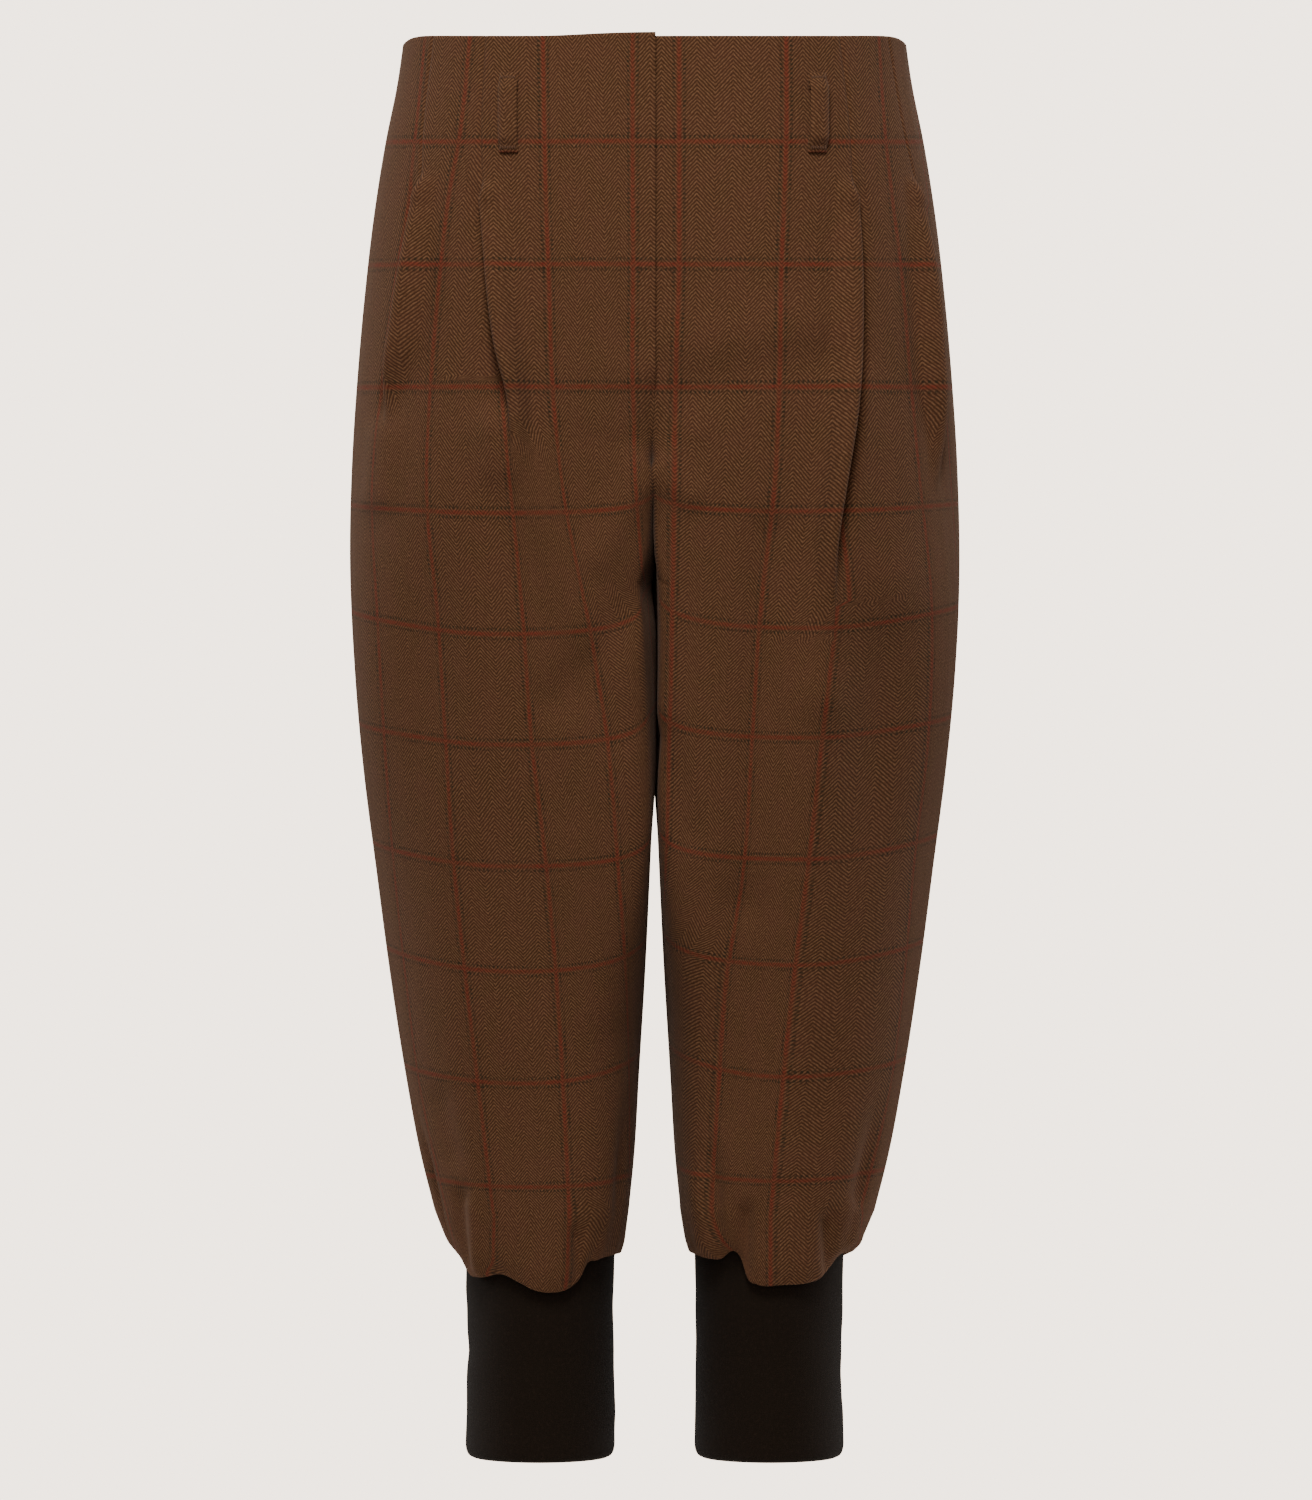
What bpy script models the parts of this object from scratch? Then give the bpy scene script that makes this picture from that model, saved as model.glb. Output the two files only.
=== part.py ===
"""Tweed breeches with ballooned legs and knitted cuffs, hollow and filled out as if worn.

Metres, +Z up. The origin is the centre of the waist, level with its rim at the side seams.
The front faces -Y, and the wearer's left leg is on +X. Tables are in millimetres.
"""
import math

import bmesh
import bpy
import numpy as np
from mathutils import Vector

MM = 0.001             # a millimetre in the scene's units
CLOTH = 1.2            # thickness of the tweed
KNIT = 2.6             # thickness of the cuffs' doubled knit
GAP = 0.3              # between pieces at a seam
ROUND = 0.56           # how far a quarter of a section bulges toward its corner
EYE_DROP = 414         # the waist's tilt fades out at this drop
FRONT_DIP = 8.5        # the rim's front below its sides
BACK_RISE = 6.0        # the rim's back above its sides
RIM_DIP = 5.0          # the softened corner of the rim at each side seam

FLY_END = 205          # drop of the fly's lower end
SEAT_START = 140       # drop where the back crotch seam starts to curve in
FORK = 300             # drop of the point where the four leg seams meet
FORK_Y = 5             # that point's place from front to back
LEGS_APART = 1.0       # from the middle plane to each leg's wall where the legs touch
LAP_LIFT = 2.0         # how far the fly's upper layer stands off the under-lap
UNDER_LAP = 25         # width of the under-lap

CUFF_X = 66.4          # centre of a cuff from the middle plane
CUFF_HALF = 43.5       # half its width
CUFF_DEPTH = 50        # half its depth
CUFF_TOP = 692         # drop of the cuff's hidden upper edge
CUFF_END = 823         # drop of its lower edge

LOOP_TOP = 29.5
LOOP_END = 75.5
LOOP_WIDTH = 11
LOOP_THICK = 1.8
LOOP_STAND = 2.3       # how much further a loop's middle stands off than its ends

# The garment's outline at drops below the waist: half width at the side seams, depth to the
# front and the back, how far out the front-most and back-most lines run, half gap between legs
OUTLINE = np.array([
    # drop, side, front, back, front_x, back_x, gap
    (-10, 144.0, 91, 95, 32, 30, 0),
    (30, 149.7, 95, 100, 37, 38, 0),
    (60, 155.8, 98, 105, 42, 46, 0),
    (100, 162.3, 102, 113, 48, 57, 0),
    (150, 168.2, 106, 122, 56, 69, 0),
    (200, 172.6, 108, 125, 66, 80, 0),
    (250, 175.7, 109, 122, 80, 87, 0),
    (300, 176.7, 108, 116, 88, 88, 0),
    (370, 173.5, 105, 110, 87, 87, 0),
    (430, 168.2, 100, 105, 84, 84, 0.4),
    (480, 161.9, 95, 100, 82, 82, 2.4),
    (540, 154.0, 89, 93, 80, 80, 5.2),
    (600, 144.8, 82, 85, 77, 77, 8.8),
    (650, 135.4, 75, 77, 74, 74, 11.8),
    (680, 127.8, 69, 70, 71, 71, 14.8),
], dtype=float)
OUTLINE_NAMES = ("drop", "side", "front", "back", "front_x", "back_x", "gap")

# How the cloth's crosswise threads hang: their lift at the inner leg and at the side seam
WEFT = np.array([
    # drop, inner, outer
    (230, 0, 0),
    (277, 14, 5),
    (330, 30, 13),
    (411, 27, 13),
    (480, 24, 13),
    (540, 20, 12),
    (604, 16, 8),
    (650, 9, 6),
    (680, 0, 0),
], dtype=float)
WEFT_NAMES = ("drop", "inner", "outer")

# Where the folded edge of each front pleat runs, its height and how far it is folded over
PLEATS = {
    "right": (
        np.array([
            # drop, across, height, fold
            (0, 97, 4.4, 0.0), (60, 99, 4.4, 0.0), (88, 98, 4.4, 0.0), (97, 97, 4.4, 0.5),
            (107, 96, 4.6, 1.0), (150, 92, 6.0, 1.0), (185, 88, 6.0, 0.85), (210, 85, 5.0, 0.4),
            (232, 83, 4.4, 0.0), (430, 83, 4.4, 0.0), (560, 80, 4.4, 0.0), (680, 74, 4.4, 0.0),
        ], dtype=float),
        np.array([
            (0, 127, 4.4, 0.0), (60, 133, 4.4, 0.0), (82, 134, 4.4, 0.0), (91, 135, 4.4, 0.5),
            (102, 137, 4.4, 1.0), (142, 141, 5.4, 1.0), (180, 147, 5.4, 0.85),
            (203, 151, 4.8, 0.4), (226, 154, 4.4, 0.0), (300, 152, 4.4, 0.0),
            (430, 145, 4.4, 0.0), (560, 128, 4.4, 0.0), (680, 104, 4.4, 0.0),
        ], dtype=float),
    ),
    "left": (
        np.array([
            (0, 106, 4.4, 0.0), (60, 112, 4.4, 0.0), (86, 114, 4.4, 0.0), (95, 115, 4.4, 0.5),
            (106, 115, 4.6, 1.0), (165, 115, 6.0, 1.0), (215, 113, 6.0, 0.85),
            (262, 108, 5.0, 0.4), (300, 104, 4.4, 0.0), (430, 98, 4.4, 0.0),
            (560, 89, 4.4, 0.0), (680, 78, 4.4, 0.0),
        ], dtype=float),
        np.array([
            (0, 134, 4.4, 0.0), (60, 144, 4.4, 0.0), (84, 150, 4.4, 0.0), (93, 152, 4.4, 0.5),
            (104, 153, 4.4, 1.0), (150, 157, 5.0, 1.0), (195, 160, 5.0, 0.85),
            (235, 162, 4.6, 0.4), (268, 162, 4.4, 0.0), (340, 158, 4.4, 0.0),
            (430, 148, 4.4, 0.0), (560, 130, 4.4, 0.0), (680, 105, 4.4, 0.0),
        ], dtype=float),
    ),
}
PLEAT_NAMES = ("drop", "across", "height", "fold")
OVERLAP = 4.0          # how much cloth a folded pleat covers
OPEN_ARC = 3.0         # length of each of a pleat's bends as it opens flat
BEND_STEPS = 3         # columns round each bend
PLEAT_REACH = 14       # the cloth on each side that a pleat lifts

# Soft folds of the hanging cloth. Turn counts quarters round a leg from its inner seam:
# 1 is the front, 2 the side, 3 the back. Height is out from the form, so a trough is negative
FOLDS = {
    "right": np.array([
        # turn, top, end, width, height
        (0.42, 262, 420, 20, -5.0),
        (0.80, 300, 560, 26, 4.5),
        (1.30, 250, 470, 24, -4.5),
        (1.66, 240, 520, 26, 4.0),
        (1.08, 560, 700, 22, -3.5),
        (1.80, 610, 712, 9, -5.5),
        (0.36, 600, 712, 12, -4.0),
        (2.45, 200, 520, 32, -5.0),
        (3.05, 260, 600, 30, 4.0),
        (3.50, 270, 430, 22, -5.0),
        (2.60, 600, 712, 12, -4.0),
        (3.40, 590, 712, 14, -4.0),
    ], dtype=float),
    "left": np.array([
        (0.40, 262, 440, 20, -5.0),
        (0.86, 320, 600, 28, 4.5),
        (1.32, 280, 520, 22, -4.5),
        (1.70, 250, 480, 26, 4.0),
        (0.62, 620, 716, 10, -5.5),
        (1.58, 600, 712, 12, -4.5),
        (1.12, 560, 690, 22, -3.0),
        (2.50, 210, 540, 32, -5.0),
        (3.00, 250, 580, 30, 4.0),
        (3.52, 270, 450, 22, -5.0),
        (2.65, 600, 712, 12, -4.0),
        (3.35, 610, 712, 14, -4.0),
    ], dtype=float),
}
FOLD_NAMES = ("turn", "top", "end", "width", "height")

# The lowest line of the cloth that blouses over each cuff, by the same turns
HEM = np.array([
    # turn, right, left
    (0.0, 709, 709), (0.3, 709, 709), (0.45, 713, 709), (0.58, 721, 710), (0.72, 724, 717),
    (1.0, 726, 722), (1.3, 724, 722), (1.6, 721, 720), (1.78, 717, 714), (1.9, 711, 709),
    (2.0, 707, 707), (2.4, 713, 712), (2.7, 719, 720), (3.0, 716, 717), (3.3, 721, 720),
    (3.7, 712, 713), (4.0, 709, 709),
], dtype=float)
HEM_NAMES = ("turn", "right", "left")
HEM_START = 680        # drop where the leg starts to turn in to the cuff
# From there down to the lowest line, how much of the leg's width beyond the cuff is left
HEM_CURVE = ((0.37, 0.78), (0.72, 0.55), (0.9, 0.34), (1.0, 0.17))
HEM_TUCK = (3.5, 14)   # how far the turned-in cloth climbs behind its lowest line

WAIST_ROWS = (0, 14, 60, 80, 87, 94, 102, 120, 150, 180, 200, 212, 226, 242)
LEG_ROWS = (258, 274, 290, 305, 318, 330, 350, 385, 430, 480, 530, 580, 625, 660, 680)
FRONT_STEPS = (5, 2, 4)  # columns from the middle to a pleat, between pleats and on to the side
BACK_COLUMNS = 14
CUFF_COLUMNS = 36
RING_OPEN = 0.997      # leaves a ring of tweed open by the gap at its inseam
FACET_SLACK = 0.6      # more room where a flat facet meets a curved wall

TWEED = {"colour": (0.095, 0.043, 0.021, 1.0), "roughness": 0.95}
BLACK_KNIT = {"colour": (0.009, 0.007, 0.005, 1.0), "roughness": 0.9}


def column(table, names, name):
    """Returns one named column of a table."""
    return table[:, names.index(name)]


def smooth_read(at, xs, ys):
    """Reads a table's curve at the places given, rounded through its points."""
    slopes = np.gradient(ys, xs)
    at = np.clip(at, xs[0], xs[-1])
    i = np.clip(np.searchsorted(xs, at, side="right") - 1, 0, len(xs) - 2)
    width = xs[i + 1] - xs[i]
    t = (at - xs[i]) / width
    start = (1 + 2 * t) * (1 - t) ** 2 * ys[i] + t * (1 - t) ** 2 * width * slopes[i]
    end = t * t * (3 - 2 * t) * ys[i + 1] + t * t * (t - 1) * width * slopes[i + 1]
    return start + end


def outline(name, drop):
    return smooth_read(drop, OUTLINE[:, 0], column(OUTLINE, OUTLINE_NAMES, name))


def ease(t):
    """Runs smoothly from 0 to 1 as t does."""
    t = np.clip(t, 0, 1)
    return t * t * (3 - 2 * t)


def weft_lift(name, drop):
    return smooth_read(drop, WEFT[:, 0], column(WEFT, WEFT_NAMES, name))


def quarter(t, start, heading, corner, finish):
    """Returns points of a quarter of a section, which leaves start along heading and reaches
    finish from the direction of corner."""
    reach = np.abs(finish - start)
    leave = start + ROUND * heading * np.linalg.norm(heading * reach, axis=1, keepdims=True)
    arrive = finish + ROUND * (corner - finish)
    t = t[:, None]
    return ((1 - t) ** 3 * start + 3 * (1 - t) ** 2 * t * leave
            + 3 * (1 - t) * t * t * arrive + t ** 3 * finish)


def pair(x, y):
    return np.stack(np.broadcast_arrays(x, y), axis=1).astype(float)


def seam_point(seam_drop, front):
    """Returns how far back the crotch seam or inseam lies, and how much the wall there is a
    leg's and not the torso's."""
    start = FLY_END if front else SEAT_START
    if front:
        middle_y = 0.8 + 4 * ease((seam_drop - 185) / 60) - outline("front", seam_drop)
    else:
        middle_y = outline("back", seam_drop) - 1.5 - 7 * ease((seam_drop - 20) / 110)
    t = np.clip((seam_drop - start) / (FORK - start), 0, 1)
    power, root = (2.4, 0.5) if front else (3.0, 0.6)
    curve = 1 - (1 - t ** power) ** root
    y = middle_y + (FORK_Y - middle_y) * curve
    leg = ease((seam_drop - FLY_END) / (290 - FLY_END))
    return y, leg


def form_row(turn, drop):
    """Returns the middle of the wall, for the leg on +X, along one row of crosswise threads.
    Turn runs from the front middle or inner leg (0) by the front, side and back round to 4."""
    inner, outer = weft_lift("inner", drop), weft_lift("outer", drop)
    from_seam = np.where(turn < 2, 1 - turn, turn - 3)
    from_side = 1 - np.abs(turn - 2)
    toward_front = np.where(turn < 1, 1, np.cos(np.clip(turn - 1, 0, 2) * math.pi / 2))
    tilt = np.where(toward_front > 0, -FRONT_DIP, -BACK_RISE) * toward_front
    z = -drop + inner * ease(from_seam) + outer * ease(from_side)
    z = z + tilt * (1 - min(drop, EYE_DROP) / EYE_DROP)
    z = z - RIM_DIP * np.exp(-((turn - 2) / 0.17) ** 2) * math.exp(-max(drop, 0) / 9)
    here = -z
    half = CLOTH / 2
    side, gap = outline("side", here) - half, outline("gap", here) + half
    front, back = half - outline("front", here), outline("back", here) - half
    front_x = outline("front_x", here)
    back_x = outline("back_x", here)

    seam_drop = drop - inner
    seam_z = np.array([seam_drop])
    seam_y, leg = seam_point(seam_z, True)
    rear_y, rear_leg = seam_point(seam_z, False)
    seam_x = GAP / 2 + leg * (max(LEGS_APART, outline("gap", seam_z)[0] + half) - GAP / 2)
    step = GAP / 2 if seam_drop >= FORK - 1 else 0

    points = np.zeros((len(turn), 2))
    first = turn <= 1
    second = (turn > 1) & (turn <= 2)
    third = (turn > 2) & (turn <= 3)
    fourth = turn > 3
    front_head = np.array([1 - leg[0], -leg[0]])
    rear_head = np.array([1 - rear_leg[0], rear_leg[0]])

    def part(mask, t, start, heading, corner, finish):
        points[mask] = quarter(t[mask], start[mask], heading, corner[mask], finish[mask])

    front_seam, rear_seam = pair(seam_x + 0 * z, seam_y - step), pair(seam_x + 0 * z, rear_y + step)
    foremost, hindmost, sidemost = pair(front_x, front), pair(back_x, back), pair(side, 0)
    part(first, turn, front_seam, front_head, pair(seam_x + 0 * z, front), foremost)
    part(second, 2 - turn, sidemost, np.array([0.0, -1.0]), pair(side, front), foremost)
    part(third, turn - 2, sidemost, np.array([0.0, 1.0]), pair(side, back), hindmost)
    part(fourth, 4 - turn, rear_seam, rear_head, pair(seam_x + 0 * z, back), hindmost)
    return np.column_stack([points, z])


def outward(row):
    """Returns the level outward direction at each point of a row."""
    along = np.gradient(row[:, :2], axis=0)
    along /= np.maximum(np.linalg.norm(along, axis=1, keepdims=True), 1e-9)
    return np.column_stack([along[:, 1], -along[:, 0], np.zeros(len(row))])


def soft_folds(side, turn, row):
    """Returns how far the hanging cloth's soft folds stand out along a row."""
    drop = -row[:, 2]
    out = np.zeros(len(turn))
    for at, top, end, width, height in FOLDS[side]:
        middle = (top + end) / 2
        length = ease((drop - top) / (middle - top)) * ease((end - drop) / (end - middle))
        radius = 85.0
        across = (turn - at) * radius * math.pi / 2
        out += height * length * np.exp(-(across / width) ** 2)
    return out


def cuff_ring(turn, out, opened=1.0):
    """Returns a level ring round a cuff's face, out from it, whole or opened at its inseam."""
    angle = (turn - 2) * math.pi / 2 * opened
    x = CUFF_X + (CUFF_HALF + out) * np.cos(angle)
    return pair(x, (CUFF_DEPTH + out) * np.sin(angle))


class Row:
    """One row of crosswise threads, sampled closely, with its distance along the cloth."""

    SAMPLES = 801

    def __init__(self, side, drop, hem=None, tuck=None):
        self.turn = np.linspace(0, 4, self.SAMPLES)
        base = form_row(self.turn, min(drop, HEM_START))
        self.out = outward(base)
        base = base + self.out * soft_folds(side, self.turn, base)[:, None]
        if hem is not None:
            base = self.blouse(side, base, hem, tuck)
            self.out = outward(base)
        self.points = base
        steps = np.linalg.norm(np.diff(base, axis=0), axis=1)
        self.along = np.concatenate([[0], np.cumsum(steps)])
        self.side_along = np.interp(2, self.turn, self.along)

    def blouse(self, side, base, hem, tuck):
        """Carries the leg's last row down and in to the cuff, and back up behind itself."""
        lowest = smooth_read(self.turn, HEM[:, 0], column(HEM, HEM_NAMES, side))
        on_cuff = cuff_ring(self.turn, GAP + CLOTH / 2 + FACET_SLACK, RING_OPEN)
        down, left = hem
        xy = on_cuff + left * (base[:, :2] - on_cuff)
        z = -(HEM_START + down * (lowest - HEM_START)) if tuck is None else tuck - lowest
        start = base[:, 2] + HEM_START
        return np.column_stack([xy, z + start * (1 - down)])

    def at(self, along, out=0.0):
        point = np.array([np.interp(along, self.along, self.points[:, k]) for k in range(3)])
        normal = np.array([np.interp(along, self.along, self.out[:, k]) for k in range(3)])
        return point + normal * out

    def find(self, x):
        """Returns the distance along the front where the row reaches x."""
        front = self.turn <= 2
        return float(np.interp(x, self.points[front, 0], self.along[front]))


def pleat_section(height, fold):
    """Returns how far across and out each column of a pleat stands, from its centre side. The
    cloth bends under itself and back again, through a half turn each time where it lies folded.
    """
    if fold <= 0:
        across = np.linspace(-PLEAT_REACH, PLEAT_REACH, 2 * BEND_STEPS + 6)
        return across, np.zeros(len(across))
    turned = math.pi * fold
    bend = (math.pi * height / 4 * fold + OPEN_ARC * (1 - fold)) / turned
    under = OVERLAP * fold * fold
    high = 2 * bend * (1 - math.cos(turned)) + under * math.sin(turned)
    start = -bend * math.sin(turned) - under * math.cos(turned) / 2
    points = [(-PLEAT_REACH, 0.0), (-PLEAT_REACH / 2, 0.8 * high)]
    for k in range(BEND_STEPS + 1):
        angle = turned * k / BEND_STEPS
        points.append((start + bend * math.sin(angle), high - bend * (1 - math.cos(angle))))
    for k in range(BEND_STEPS + 1):
        angle = turned * (1 - k / BEND_STEPS)
        points.append((-start - bend * math.sin(angle), bend * (1 - math.cos(angle))))
    points += [(PLEAT_REACH / 2, 0.0), (PLEAT_REACH, 0.0)]
    return np.array(points).T


def pleat_at(table, drop):
    drops = column(table, PLEAT_NAMES, "drop")
    return [float(np.interp(drop, drops, column(table, PLEAT_NAMES, name)))
            for name in ("across", "height", "fold")]


def front_columns(side, row, drop):
    """Returns the place along the row and the stand-off of each column of a front."""
    columns, lifts = [0.0], [0.0]
    end = row.side_along - GAP / 2
    spread = 1 + 0.6 * ease((drop - 310) / 70) * (1 - ease((drop - 500) / 120))
    for table, steps in zip(PLEATS[side], FRONT_STEPS):
        across, height, fold = pleat_at(table, drop)
        middle = row.find(across)
        offsets, out = pleat_section(height, fold)
        offsets = middle + offsets * min(spread, (end - middle) / (PLEAT_REACH + 6))
        columns += list(np.linspace(columns[-1], offsets[0], steps + 1)[1:-1])
        lifts += [0.0] * (steps - 1)
        columns += list(offsets)
        lifts += list(out)
    steps = FRONT_STEPS[-1]
    columns += list(np.linspace(columns[-1], end, steps + 1)[1:])
    lifts += [0.0] * steps
    return np.array(columns), np.array(lifts)


def lap_lift(drop, along):
    """Returns how far the fly's upper layer stands off, with a soft swell at its lower end."""
    rise = 1 - ease((drop - 214) / 24)
    swell = 2.6 * math.exp(-((drop - 200) / 13) ** 2)
    return (LAP_LIFT * rise + swell) * (1 - ease((along - UNDER_LAP - 4) / 34))


def panel_rows(side):
    """Returns the rows of a panel with their drops, from the rim down to the tucked-in hem."""
    rows = [(drop, Row(side, drop)) for drop in WAIST_ROWS + LEG_ROWS]
    rows += [(HEM_START + 1, Row(side, HEM_START, hem)) for hem in HEM_CURVE]
    rows += [(HEM_START + 1, Row(side, HEM_START, (1.0, 0.0), tuck)) for tuck in HEM_TUCK]
    return rows


def front_surface(side):
    """Returns the points of a front, a row at a time."""
    surface = []
    for drop, row in panel_rows(side):
        columns, lifts = front_columns(side, row, drop)
        edge = 1 - ease((drop - 198) / 12)
        if side == "right":
            lifts = lifts + [lap_lift(drop, c) for c in columns]
            points = np.array([row.at(c, h) for c, h in zip(columns, lifts)])
            points[0, 0] -= 2 * edge * GAP
        else:
            under = UNDER_LAP * (1 - ease((drop - 176) / 20))
            columns[0] = 0
            points = np.array([row.at(c, h) for c, h in zip(columns, lifts)])
            points[:, 0] = under_lap_x(points[:, 0], under)
        surface.append(points)
    return np.array(surface)


def under_lap_x(x, under):
    """Draws the first columns over the middle plane to make the under-lap."""
    reach = 30.0
    return np.where(x < reach, x - under * (1 - x / reach), x)


def back_surface(side):
    surface = []
    for _, row in panel_rows(side):
        columns = np.linspace(row.side_along + GAP / 2, row.along[-1], BACK_COLUMNS + 1)
        surface.append(np.array([row.at(c) for c in columns]))
    return np.array(surface)


def material(name, look):
    made = bpy.data.materials.new(name)
    made.use_nodes = True
    shader = made.node_tree.nodes["Principled BSDF"]
    shader.inputs["Base Color"].default_value = look["colour"]
    shader.inputs["Roughness"].default_value = look["roughness"]
    shader.inputs["Metallic"].default_value = 0.0
    return made


def sheet(name, surface, thickness, made, group, mirrored, closed=False):
    """Makes a wall of cloth on a grid of points in millimetres, thickened both ways."""
    rows, columns = surface.shape[:2]
    if mirrored:
        surface = surface * np.array([-1.0, 1.0, 1.0])
    mesh = bpy.data.meshes.new(name)
    build = bmesh.new()
    bmesh.ops.create_grid(build, x_segments=columns - 1, y_segments=rows - 1, size=1)
    build.verts.ensure_lookup_table()
    for index, vertex in enumerate(build.verts):
        vertex.co = Vector(surface[index // columns][index % columns] * MM)
    if closed:
        bmesh.ops.remove_doubles(build, verts=build.verts, dist=1e-6)
    if not mirrored:
        bmesh.ops.reverse_faces(build, faces=build.faces)
    build.to_mesh(mesh)
    build.free()
    mesh.materials.append(made)
    mesh.shade_smooth()
    piece = bpy.data.objects.new(name, mesh)
    group.objects.link(piece)
    wall = piece.modifiers.new("Wall", "SOLIDIFY")
    wall.thickness = thickness * MM
    wall.offset = 0.0
    return piece


def cuff_surface():
    """Returns a tube of knit with softly rounded edges."""
    turns = np.linspace(0, 4, CUFF_COLUMNS + 1)
    rows = []
    middle = -KNIT / 2
    for drop in (CUFF_TOP, CUFF_TOP + 20, CUFF_TOP + 55, CUFF_TOP + 95, CUFF_END - 6, CUFF_END):
        waisted = -0.8 * math.sin(math.pi * (drop - CUFF_TOP) / (CUFF_END - CUFF_TOP))
        ring = cuff_ring(turns, middle + waisted)
        rows.append(np.column_stack([ring, np.full(len(turns), -float(drop))]))
    return np.array(rows)


def loop_surface(side, place, on_back=False, middle=False):
    """Returns a belt loop's strip: it lies on the panel at both ends and stands off between."""
    rows = []
    steps = 10
    seat = CLOTH / 2 + GAP + FACET_SLACK + LOOP_THICK / 2
    for k in range(steps + 1):
        t = k / steps
        drop = LOOP_TOP + t * (LOOP_END - LOOP_TOP) - FRONT_DIP * (1 - LOOP_TOP / EYE_DROP)
        row = Row(side, drop)
        centre = row.find(place) if not on_back else row.side_along + place
        if middle:
            centre = row.along[-1]
        stand = seat + LOOP_STAND * ease(t / 0.18) * ease((1 - t) / 0.18)
        offsets = np.linspace(-LOOP_WIDTH / 2, LOOP_WIDTH / 2, 4)
        if middle:
            base = row.at(centre, stand)
            rows.append(np.array([(-o, base[1], base[2]) for o in offsets]))
        else:
            level = row.at(centre, stand)
            beside = row.at(centre + 1, stand) - row.at(centre - 1, stand)
            beside /= np.linalg.norm(beside)
            rows.append(np.array([level + beside * o for o in offsets]))
    return np.array(rows)


def remove_everything():
    for thing in list(bpy.data.objects):
        bpy.data.objects.remove(thing, do_unlink=True)


def build():
    remove_everything()
    group = bpy.data.collections.new("Breeches")
    bpy.context.scene.collection.children.link(group)
    tweed = material("tweed", TWEED)
    knit = material("cuff_knit", BLACK_KNIT)
    loops = (
        # name, side, place along the front or past the side seam, on the back, in its middle
        ("loop_front_right", "right", 82.5, False, False),
        ("loop_front_left", "left", 92.0, False, False),
        ("loop_side_right", "right", 62.0, True, False),
        ("loop_side_left", "left", 62.0, True, False),
        ("loop_back", "left", 0.0, True, True),
    )
    for side in ("right", "left"):
        mirrored = side == "right"
        sheet(f"front_{side}", front_surface(side), CLOTH, tweed, group, mirrored)
        sheet(f"back_{side}", back_surface(side), CLOTH, tweed, group, mirrored)
        sheet(f"cuff_{side}", cuff_surface(), KNIT, knit, group, mirrored, closed=True)
    for name, side, place, on_back, middle in loops:
        strip = loop_surface(side, place, on_back, middle)
        sheet(name, strip, LOOP_THICK, tweed, group, side == "right")


build()
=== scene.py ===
"""Tweed breeches with knitted cuffs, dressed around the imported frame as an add-on's operators."""
import math
from functools import partial

import bmesh
import bpy
import numpy as np
from bpy.props import FloatProperty, FloatVectorProperty, PointerProperty
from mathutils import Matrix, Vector


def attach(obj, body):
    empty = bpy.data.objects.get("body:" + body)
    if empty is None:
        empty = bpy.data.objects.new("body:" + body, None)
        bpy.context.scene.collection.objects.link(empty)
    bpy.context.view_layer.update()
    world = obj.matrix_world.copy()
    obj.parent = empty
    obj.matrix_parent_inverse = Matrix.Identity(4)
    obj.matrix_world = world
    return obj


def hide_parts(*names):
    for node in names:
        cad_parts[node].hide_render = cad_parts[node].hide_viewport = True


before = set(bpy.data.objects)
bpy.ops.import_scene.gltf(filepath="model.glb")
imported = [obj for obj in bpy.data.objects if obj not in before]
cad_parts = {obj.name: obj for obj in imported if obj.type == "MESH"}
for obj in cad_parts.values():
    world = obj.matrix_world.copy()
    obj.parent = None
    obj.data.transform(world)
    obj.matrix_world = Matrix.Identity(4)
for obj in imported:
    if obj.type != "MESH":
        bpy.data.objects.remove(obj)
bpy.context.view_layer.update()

bl_info = {
    "name": "Tweed breeches",
    "version": (1, 0, 0),
    "blender": (4, 5, 0),
    "location": "3D View > Sidebar > Breeches",
    "description": "Ballooned tweed breeches with pleated fronts and knitted cuffs",
    "category": "Add Mesh",
}

MM = 0.001             # all lengths here are in millimetres, the stage's in metres
CLOTH = 1.2            # the CAD wall, which the section's curves are set out from
ROUND = 0.56           # how far a quarter of a section bulges toward its corner
TOUCH_ROUND = 1.0      # the same where the two legs press flat against each other
CORNER = 0.6           # how much their corners are squared there
EYE_DROP = 414         # the drop of the camera's eye, where a level row looks straight
FRONT_DIP = 8.5        # the rim's front below its sides
BACK_RISE = 6.0        # its back above its sides
RIM_DIP = 5.0          # its sides below the run of its front and back
FLY_END = 205          # where the crotch seam leaves the front
SEAT_START = 140       # where the seat seam turns under
FORK = 300             # the crotch's lowest point
FORK_Y = 5
TOUCH_START = 208      # where the legs begin to press together
TOUCH_FADE = 430       # where they begin to part
LEGS_APART = 0.62
SWAY = 1.5             # how far the legs' touching walls wave from side to side
SWAY_LENGTH = 84
QUARTER_TURN = 85.0 * math.pi / 2  # about a quarter of the way round a leg
UNDER_LAP = 25
UNDER_LAP_END = 176    # where it begins to narrow
UNDER_LAP_REACH = 30.0 # how much of the front is drawn over with it
SEAM = 0.05            # between the sewn pieces, half on each side
SEAM_DIP = 0.9         # how far the cloth turns in at a seam
SEAM_REACH = 3.2
LAP_LIFT = 2.9         # how far the fly's upper layer stands off the under-lap
LAP_RISE = 2.0         # how much higher that layer's top sits

CUFF_X = 66.4
CUFF_HALF = 43.5
CUFF_DEPTH = 50
CUFF_GIRTH = 294.0     # of its face, along which the stitches run round
CUFF_TOP = 692
CUFF_END = 823

HEM_CLEAR = 1.2        # between the cuff's face and the middle of the hem's cloth
PUCKER = 0.55          # height of the hem's small puckers
CUFF_ROUND = 8.0       # how high the turn at the cuff's lower edge reaches

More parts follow.
